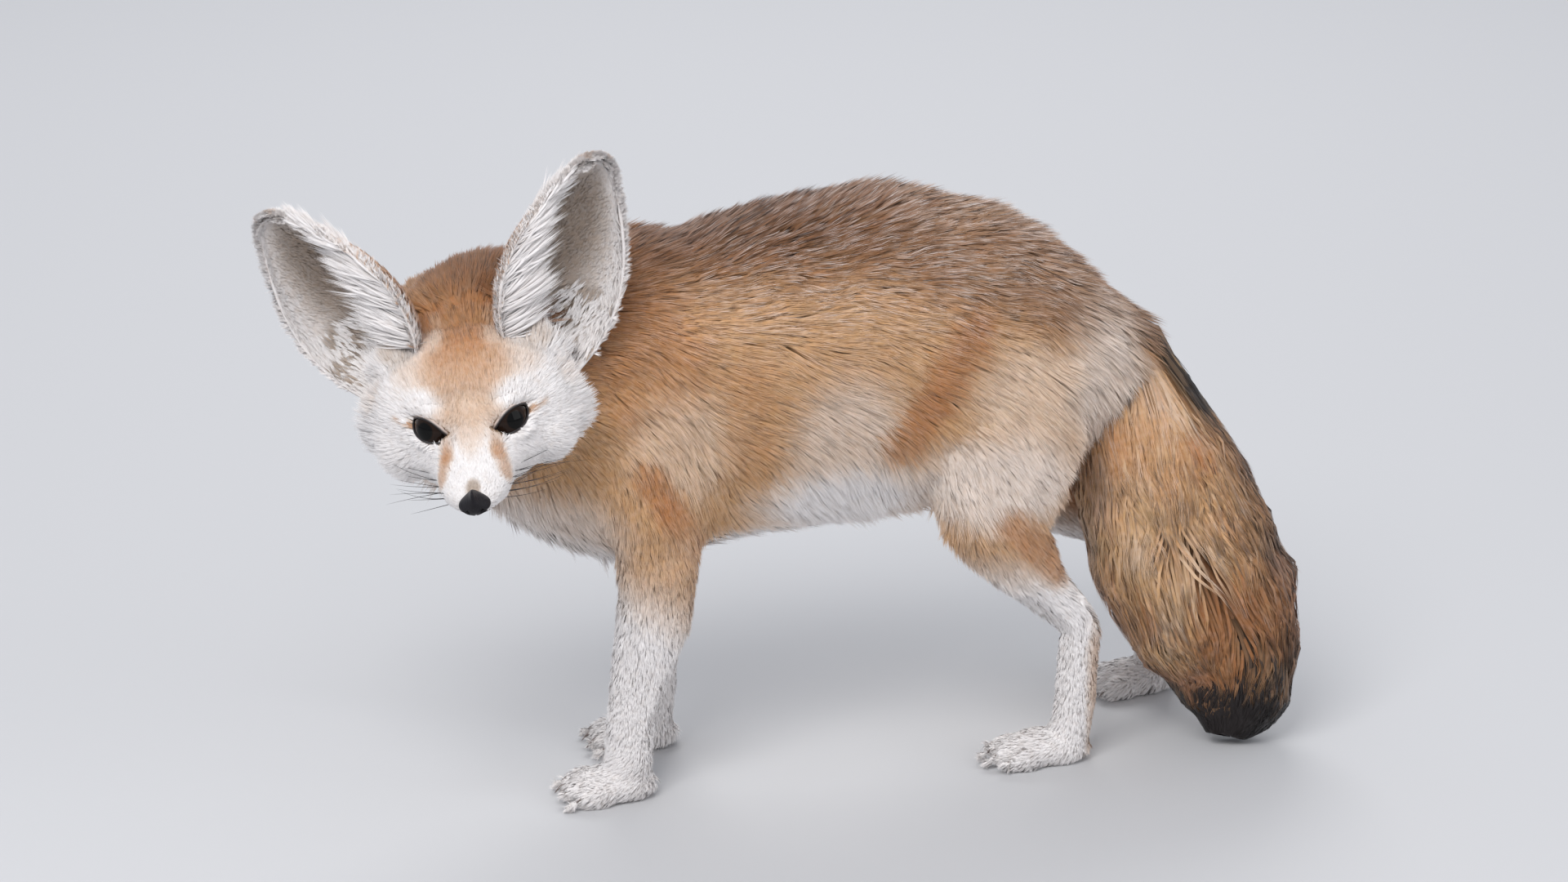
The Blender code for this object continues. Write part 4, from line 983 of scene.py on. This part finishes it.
def earTufts(side, name, tile):
    sheet, normal = earSheet(side)
    rows, cols = sheet.shape[:2]
    inward, ahead, up = (unit(axis @ headRows) for axis in earAxes(side)[0])
    groups = []
    for kind, count in earHair.items():
        share = draw.uniform(0.12, 1.0, count) ** 0.9
        across = draw.uniform(0, 1, count)
        if kind == "rim":
            first = draw.uniform(size=count) < 0.5
            across = np.where(first, draw.uniform(0.95, 1, count), draw.uniform(0, 0.05, count))
        if kind == "fringe":
            share = draw.uniform(0.17, 0.70, count)
            across = 1 - 0.24 * draw.uniform(size=count) ** 1.2
        if kind == "foot":
            share = draw.uniform(0.10, 0.30, count)
        spots = sheetAt(sheet, share * (rows - 1), across * (cols - 1))
        out = unit(sheetAt(normal, share * (rows - 1), across * (cols - 1)))
        toEdge = np.where(across < 0.5, -1, 1)[:, None] * inward
        marks = earMarks(across, share, kind != "back")
        tips = np.zeros((count, 3))
        tips[:, 1] = 0.25
        edge = np.abs(across - 0.5) * 2
        flat = True
        if kind == "back":
            out = -out
            lie, length, height, width = np.tile(up, (count, 1)), np.full(count, 5.5), np.full(count, 1.2), 1.0
        if kind == "inside":
            lie = up * 0.9 + toEdge * (0.2 + 0.5 * edge[:, None])
            length, height, width = 2.6 + 2.8 * edge**2, 0.7 + 0.7 * edge**2, 0.8
        if kind == "rim":
            lie, flat = up * 0.8 + toEdge * 0.45 + ahead * 0.1, False
            lie = lie + 0.25 * draw.normal(size=(count, 3))
            length, height, width = np.full(count, 3.6), draw.uniform(-0.6, 0.6, count), 0.8
            marks = np.tile((0.0, 0.98, 0.0), (count, 1))
            thin = (across > 0.5) * (1 - step(0.4, 0.7, share)) * (draw.uniform(size=count) < 0.35)
            marks = layer(marks, (0.5, 0.3, 0.0), thin)
        if kind == "fringe":
            lean = np.radians(40 + 20 * (share - 0.17) / 0.53 + 8 * draw.normal(size=count))[:, None]
            lie, flat = up * np.sin(lean) - inward * np.cos(lean) - ahead * 0.12, False
            length = (22 - 13 * step(0.3, 0.72, share)) * draw.uniform(0.5, 1.05, count)
            height, width = draw.uniform(-0.5, 2.0, count), 0.75
            out = unit(ahead + 0.3 * inward + 0 * out)
            marks = np.tile((0.0, 1.0, 0.0), (count, 1))
        if kind == "foot":
            lie = up * 0.8 + toEdge * 0.25
            length, height, width = draw.uniform(4, 8, count), draw.uniform(0.8, 2.4, count), 0.9
            marks = np.tile((0.0, 0.96, 0.0), (count, 1))
            marks = layer(marks, (0.0, 0.4, 0.5), (waver(spots, 5, 31 + side)[:, 0] > 0.35) * 0.8)
        spots = spots + out * 0.35 * flat
        lie = lie + 0.22 * waver(spots, 6, 9 + side) + 0.07 * draw.normal(size=(count, 3))
        lie = unit(lie - out * (lie * out).sum(1, keepdims=True) * flat)
        length = length * draw.uniform(0.8, 1.15, count)
        paths = []
        for s in (0.0, 0.33, 0.66, 1.0) if kind == "fringe" else (0.0, 0.5, 1.0):
            rise = height * (1 - (1 - s) ** 2)
            bend = up * (length * 0.22 * s * s * (kind == "fringe"))[:, None]
            paths.append(spots + lie * (length * s)[:, None] + out * rise[:, None] + bend)
        patches = bakePlace(across, share, tile + (kind == "back") * 2, 5)
        groups.append((np.stack(paths, axis=1), out, np.full(count, width), marks, patches, tips))
    growTufts(name, *(np.concatenate(column) for column in zip(*groups[:-1])))
    growTufts(name + "_fringe", *groups[-1])


earTufts(1, "coat_left_ear", 0)
earTufts(-1, "coat_right_ear", 1)

# steps: share of a hair's length, how far out it is, and how far the lock has spread there
tailHair = {
    "locks": 430, "hairs": 46, "run": 0.24, "width": 1.25,
    "steps": [(0.0, 0.44, 1.0), (0.25, 0.72, 1.0), (0.5, 0.88, 0.9), (0.76, 0.97, 0.75), (1.0, 1.0, 0.55)],
}


def tailTufts():
    locks, hairs = tailHair["locks"], tailHair["hairs"]
    down = np.repeat(draw.uniform(-0.02, 0.86, locks), hairs)
    angle = np.repeat(draw.uniform(0, 2 * math.pi, locks), hairs)
    chance, high, low = draw.uniform(size=locks), draw.uniform(0.93, 1.0, locks), draw.uniform(0.7, 0.93, locks)
    top = np.repeat(np.where(chance < 0.62, high, low), hairs)
    run = np.repeat(tailHair["run"] * draw.uniform(0.75, 1.2, locks), hairs)
    sway = np.repeat(draw.normal(size=locks) * 0.16, hairs)
    count = locks * hairs
    offDown = draw.normal(size=count) * 0.035
    offAngle = draw.normal(size=count) * 0.20
    run = np.minimum(run * draw.uniform(0.8, 1.1, count), 1.02 - down)
    paths, outs = [], []
    for s, reach, gather in tailHair["steps"]:
        here = np.clip(down + offDown * (1 - 0.5 * s) + run * s, 0, 1)
        turn = angle + offAngle * gather + sway * s
        share = reach * (1 - (1 - top) * s) * (1 + 0.02 * draw.normal(size=count) * s)
        place, out = tailPoints(here, turn, np.minimum(share, 1.0))
        place += waver(place, 13, 17) * 1.6 * s
        paths.append(place)
        outs.append(unit(out))
    paths, out = np.stack(paths, axis=1), outs[2]
    paths[..., 2] = np.maximum(paths[..., 2], 0.6)
    middle = np.clip(down + run * 0.6, 0, 1)
    bands = waver(paths[:, 3], 14, 21)
    marks = tailMarks(middle + 0.03 * bands[:, 0] + 0.02 * draw.normal(size=count), angle)
    marks[:, 0] += 0.20 * bands[:, 0]
    marks[:, 1] += 0.14 * np.maximum(bands[:, 1], 0) * (1 - marks[:, 2])
    marks[:, 2] += 0.10 * np.maximum(bands[:, 2] - 0.3, 0) * step(0.1, 0.3, middle)
    marks = layer(marks, (0.0, 0.0, 1.0), spot(paths[:, 3], (160, -16, 143), (11, 20, 9)))
    tips = np.zeros((count, 3))
    chance = draw.uniform(size=count)
    band = np.repeat(draw.uniform(size=locks), hairs)
    tips[:, 1] = np.where(chance > 0.75, 0.25, 0) * (1 - step(0.62, 0.72, middle))
    tips[:, 2] = np.where(band < 0.45, 0.7, 0.05) * step(0.1, 0.3, middle)
    patches = bakePlace(angle % (2 * math.pi) / (2 * math.pi), np.clip(down, 0, 1), 4, 5)
    growTufts("coat_tail", paths, out, np.full(count, tailHair["width"]), np.clip(marks, 0, 1), patches, tips)


tailTufts()


def eyePaint():
    paint = Paint("eye_wet")
    ring = paint.read("ring")
    streaks = paint.noise(900, 3.0, 0.6)
    stops = [(0.0, (0.002, 0.002, 0.002)), (0.30, (0.002, 0.002, 0.002)), (0.36, (0.016, 0.008, 0.005)),
             (0.62, (0.012, 0.006, 0.004)), (0.74, (0.004, 0.003, 0.003))]
    colour = paint.add("ShaderNodeValToRGB", {"stops": stops}, {0: ring + (streaks - 0.5) * 0.06})
    return paint.shade(Base_Color=colour, Roughness=0.05, Coat_Weight=0.1, Coat_Roughness=0.02, IOR=1.2)


def lidPaint():
    paint = Paint("lid_skin")
    edge = paint.read("ring")
    colour = paint.mix(edge, (0.010, 0.007, 0.008), (0.62, 0.52, 0.47))
    return paint.shade(Base_Color=colour, Roughness=0.42, Normal=paint.bump(paint.noise(2500, 2.0), 0.3, 0.0002))


def makeEyes():
    wet, lidSkin = eyePaint(), lidPaint()
    for side, word in ((1, "left"), (-1, "right")):
        centre, out, along, across = eyeAxes(side)
        theta = np.linspace(0.001, math.pi - 0.001, 48)
        phi = circle(64)
        around = np.cos(phi)[:, None] * along + np.sin(phi)[:, None] * across
        radius = eyeSize["radius"] + 0.35 * np.exp(-((theta / 0.62) ** 4)) - 2.0 * step(0.95, 1.5, theta)
        radius = radius[:, None] - 1.6 * step(0.60, 1.1, theta)[:, None] * np.sin(phi) ** 2
        radius, theta = radius[..., None] * eyeSize["scale"], theta[:, None, None]
        ball = centre + radius * np.cos(theta) * out + radius * np.sin(theta) * around
        mesh = meshOf(f"{word}_eyeball", *closedRings(fromHead(ball)))
        setPointValues(mesh, "ring", np.repeat(theta.ravel() / 1.1, len(phi)))
        pieceOf(f"{word}_eyeball", mesh, wet, [f"{word}_eye"])
        rings, edge = [], []
        c, s = np.cos(phi), np.sin(phi)
        high = np.where(s > 0, eyeSize["above"], eyeSize["below"])
        for grown, radius, tone in lidRings:
            a = (eyeSize["halfLength"] + grown * (1 + 2.4 * c**6)) * c
            b = (high + grown) * s * (1 - 0.28 * c * c) - 3.0 * (c < 0) * c * c
            far = np.radians(np.hypot(a, b))[:, None]
            way = unit(a[:, None] * along + b[:, None] * across)
            rings.append(centre + radius * eyeSize["scale"] * (np.cos(far) * out + np.sin(far) * way))
            edge += [tone] * len(phi)
        rings = np.array(rings)
        mesh = meshOf(f"{word}_lids", fromHead(rings.reshape(-1, 3)), gridFaces(len(rings), len(phi), True))
        setPointValues(mesh, "ring", edge)
        pieceOf(f"{word}_lids", mesh, lidSkin)


# degrees out from the slit, distance from the eye's centre, and how far the colour has turned to the coat's
lidRings = [
    (4, 7.9, 0.0), (0.8, 8.1, 0.0), (0.0, 8.3, 0.0), (0.9, 8.5, 0.0), (2.6, 8.6, 0.0), (4.6, 8.6, 0.25),
    (7.0, 8.5, 0.9), (10, 8.2, 1.0), (14, 7.6, 1.0),
]
makeEyes()
print("eyes")


def nosePaint():
    paint = Paint("nose_leather")
    cells = paint.add("ShaderNodeTexVoronoi", {}, {"Vector": paint.places(), "Scale": 2600.0})
    colour = paint.mix(cells, (0.014, 0.012, 0.016), (0.005, 0.004, 0.005))
    constants = {"Specular_IOR_Level": 0.18, "Coat_Weight": 0.04, "Coat_Roughness": 0.25}
    return paint.shade(Base_Color=colour, Roughness=0.34, Normal=paint.bump(cells, 0.45, 0.0003), **constants)


def makeNose():
    ball = ballRings((0, 0, 0), (1, 1, 1), count=64, sides=96)
    x, y, z = (ball[..., k].copy() for k in range(3))
    narrow = 1 - 0.36 * step(0.1, 1.0, -z) - 0.70 * step(-0.15, 0.95, z)
    shape = np.stack((x, y * narrow, z * (1 + 0.75 * (z > 0) * z)), axis=-1) * np.array(noseForm["radii"])
    flat = 1 - 0.10 * step(0.4, 1.0, z)
    dent = np.zeros_like(x)
    for side in (-1, 1):
        hole = np.hypot((y - side * 0.50) / 0.17, (z + 0.06 - side * 0.30 * (y - side * 0.5)) / 0.24)
        slot = np.hypot((y - side * 0.74) / 0.20, (z + 0.26) / 0.10)
        dent += (1 - step(0.4, 1.15, hole)) * 1.9 * (x > 0) + (1 - step(0.3, 1.1, slot)) * 1.1 * (x > 0)
    dent += 0.35 * np.exp(-((y / 0.05) ** 2)) * step(0.0, 0.3, -z) * (x > 0)
    shape = shape * flat[..., None] - ball * dent[..., None]
    pitch = np.array(Matrix.Rotation(math.radians(noseForm["pitch"]), 3, "Y")).T
    mesh = meshOf("nose_pad", *closedRings(fromHead(shape @ pitch + noseForm["centre"])))
    return pieceOf("nose_pad", mesh, nosePaint(), ["nose"])


def strand(path, radii, sides=6):
    along = unit(np.gradient(path, axis=0))
    ahead = unit(np.cross(along, (0.3, 0.5, 0.8)))
    beside = np.cross(along, ahead)
    turn = circle(sides)
    ring = beside[:, None] * np.cos(turn)[:, None] + ahead[:, None] * np.sin(turn)[:, None]
    return closedRings(path[:, None] + ring * np.asarray(radii)[:, None, None])


def joinForms(name, forms):
    places, faces = [], []
    for spots, polygons in forms:
        first = sum(len(p) for p in places)
        places.append(spots)
        faces += [[k + first for k in face] for face in polygons]
    return meshOf(name, np.concatenate(places), faces)


def plainPaint(name, colour, rough, scale, strength):
    paint = Paint(name)
    grain = paint.noise(scale, 2.0)
    paler = tuple(min(1.0, c * 1.9 + 0.01) for c in colour)
    bump = paint.bump(grain, strength, 0.0002)
    return paint.shade(Base_Color=paint.mix(grain, colour, paler), Roughness=rough, Normal=bump)


def onSkin(places, raised):
    found = []
    for place in fromHead(places):
        where, normal = skin.closest_point_on_mesh(Vector((place + bodyShift) * mm))[1:3]
        found.append(np.array(where) / mm - bodyShift + np.array(normal) * raised)
    return np.array(found)


def makeMouth():
    half = [(35, 0, -17.6), (33.5, 3.6, -18.6), (30, 7.5, -19.0), (25, 10.5, -19.2), (18, 13, -18.8), (11, 15, -17.8)]
    line = smoothRows([(x, -y, z) for x, y, z in half[:0:-1]] + half, 60)
    path = smoothRows(onSkin(line, 0.12)[::2], 80)
    fade = 0.25 + 0.55 * np.sin(np.linspace(0, math.pi, 80)) ** 0.5
    groove = [(37.2, 0, -16.4), (36.6, 0, -17.0), (35.2, 0, -17.8)]
    forms = [strand(path, fade), strand(fromHead(smoothRows(groove, 8)), np.full(8, 0.45))]
    paint = plainPaint("lip_skin", (0.030, 0.020, 0.019), 0.45, 1800, 0.3)
    return pieceOf("lip_line", joinForms("lip_line", forms), paint)


whiskerForm = {"count": 11, "length": 34.0, "radius": 0.15}


def makeWhiskers():
    forms = []
    for side in (-1, 1):
        for k in range(whiskerForm["count"]):
            row, place = k % 3, k // 3
            start = np.array((26.0 - 4.5 * place, side * (9.5 + 1.1 * place), -13.5 - 2.2 * row))
            length = whiskerForm["length"] * draw.uniform(0.7, 1.1) * (0.8 + 0.1 * place)
            way = unit(np.array((-0.45 - 0.1 * place, side * 0.9, -0.10 - 0.16 * row + draw.normal() * 0.05)))
            s = np.linspace(0, 1, 12)[:, None]
            droop = np.array((-0.28, 0.0, -0.10 + 0.1 * draw.normal())) * length * s**2
            path = start + way * length * s + droop - way * 1.5
            forms.append(strand(fromHead(path), whiskerForm["radius"] * (1.02 - s[:, 0]) ** 0.7, 5))
    paint = plainPaint("whisker_hair", (0.012, 0.010, 0.010), 0.4, 900, 0.1)
    return pieceOf("whiskers", joinForms("whiskers", forms), paint)


# each foot: the x of its toes, its y and its half width
feet = [(76, -34, 11.5), (137, 35, 11.5), (-93, -30, 12.5), (-70, 24, 12.5)]


def makeClaws():
    forms = []
    for toe, y, halfWidth in feet:
        for k in (-1.5, -0.5, 0.5, 1.5):
            turn = math.radians(-7 * k)
            way = np.array((-math.cos(turn), -math.sin(turn), 0.0))
            start = np.array((toe + 9.5 - (3.2 if abs(k) < 1 else 0), y + k * halfWidth * 0.56, 5.4)) + way * 6.4
            s = np.linspace(0, 1, 12)[:, None]
            path = start + way * 4.2 * s + np.array((0, 0, -3.3)) * s**1.8
            forms.append(strand(path, 0.8 * (1.03 - s[:, 0]) ** 0.75, 8))
    paint = plainPaint("claw_horn", (0.11, 0.085, 0.075), 0.35, 700, 0.2)
    return pieceOf("claws", joinForms("claws", forms), paint)


makeNose()
makeMouth()
makeWhiskers()
makeClaws()
print("nose, mouth, whiskers and claws")

view = {"azimuth": -15.0, "elevation": 17.0, "distance": 2.2, "target": (0, 0, 127), "lens": 132.0}
# each light: place, power and size
studio = {
    "floor": (0.55, 0.55, 0.56, 1), "floorHalf": 6.0, "sky": (0.80, 0.84, 0.92, 1), "skyStrength": 0.68,
    "key": ((-0.9, -1.3, 1.7), 34, 1.1), "fill": ((1.3, -1.2, 0.9), 7, 1.4), "back": ((0.4, 1.5, 1.5), 14, 1.0),
    "lightColour": (1.0, 0.99, 0.98), "lightTarget": (0, 0, 0.12),
}


def aimed(name, data, place, way):
    made = linked(name, data)
    made.location = place
    made.rotation_mode = "QUATERNION"
    made.rotation_quaternion = way.to_track_quat("-Z", "Y")
    return made


def makeStage():
    mesh = bpy.data.meshes.new("floor")
    half = studio["floorHalf"]
    mesh.from_pydata([(-half, -half, 0), (half, -half, 0), (half, half, 0), (-half, half, 0)], [], [(0, 1, 2, 3)])
    mesh.materials.append(Paint("pale_floor").shade(Base_Color=studio["floor"], Roughness=0.7))
    linked("floor", mesh)
    world = bpy.data.worlds.new("studio")
    world.use_nodes = True
    world.node_tree.nodes["Background"].inputs["Color"].default_value = studio["sky"]
    world.node_tree.nodes["Background"].inputs["Strength"].default_value = studio["skyStrength"]
    bpy.context.scene.world = world
    for name in ("key", "fill", "back"):
        place, power, size = studio[name]
        lamp = bpy.data.lights.new(name, "AREA")
        lamp.energy, lamp.size, lamp.color = power, size, studio["lightColour"]
        aimed(name, lamp, place, Vector(studio["lightTarget"]) - Vector(place))


def makeCamera():
    a, e = math.radians(view["azimuth"]), math.radians(view["elevation"])
    back = Vector((math.sin(a) * math.cos(e), -math.cos(a) * math.cos(e), math.sin(e)))
    camera = bpy.data.cameras.new("camera")
    camera.sensor_width, camera.lens = 36.0, view["lens"]
    place = Vector((np.array(view["target"]) + bodyShift) * mm) + back * view["distance"]
    bpy.context.scene.camera = aimed("camera", camera, place, -back)
    bpy.context.scene.view_settings.view_transform = "Standard"


makeStage()
makeCamera()

print("done")
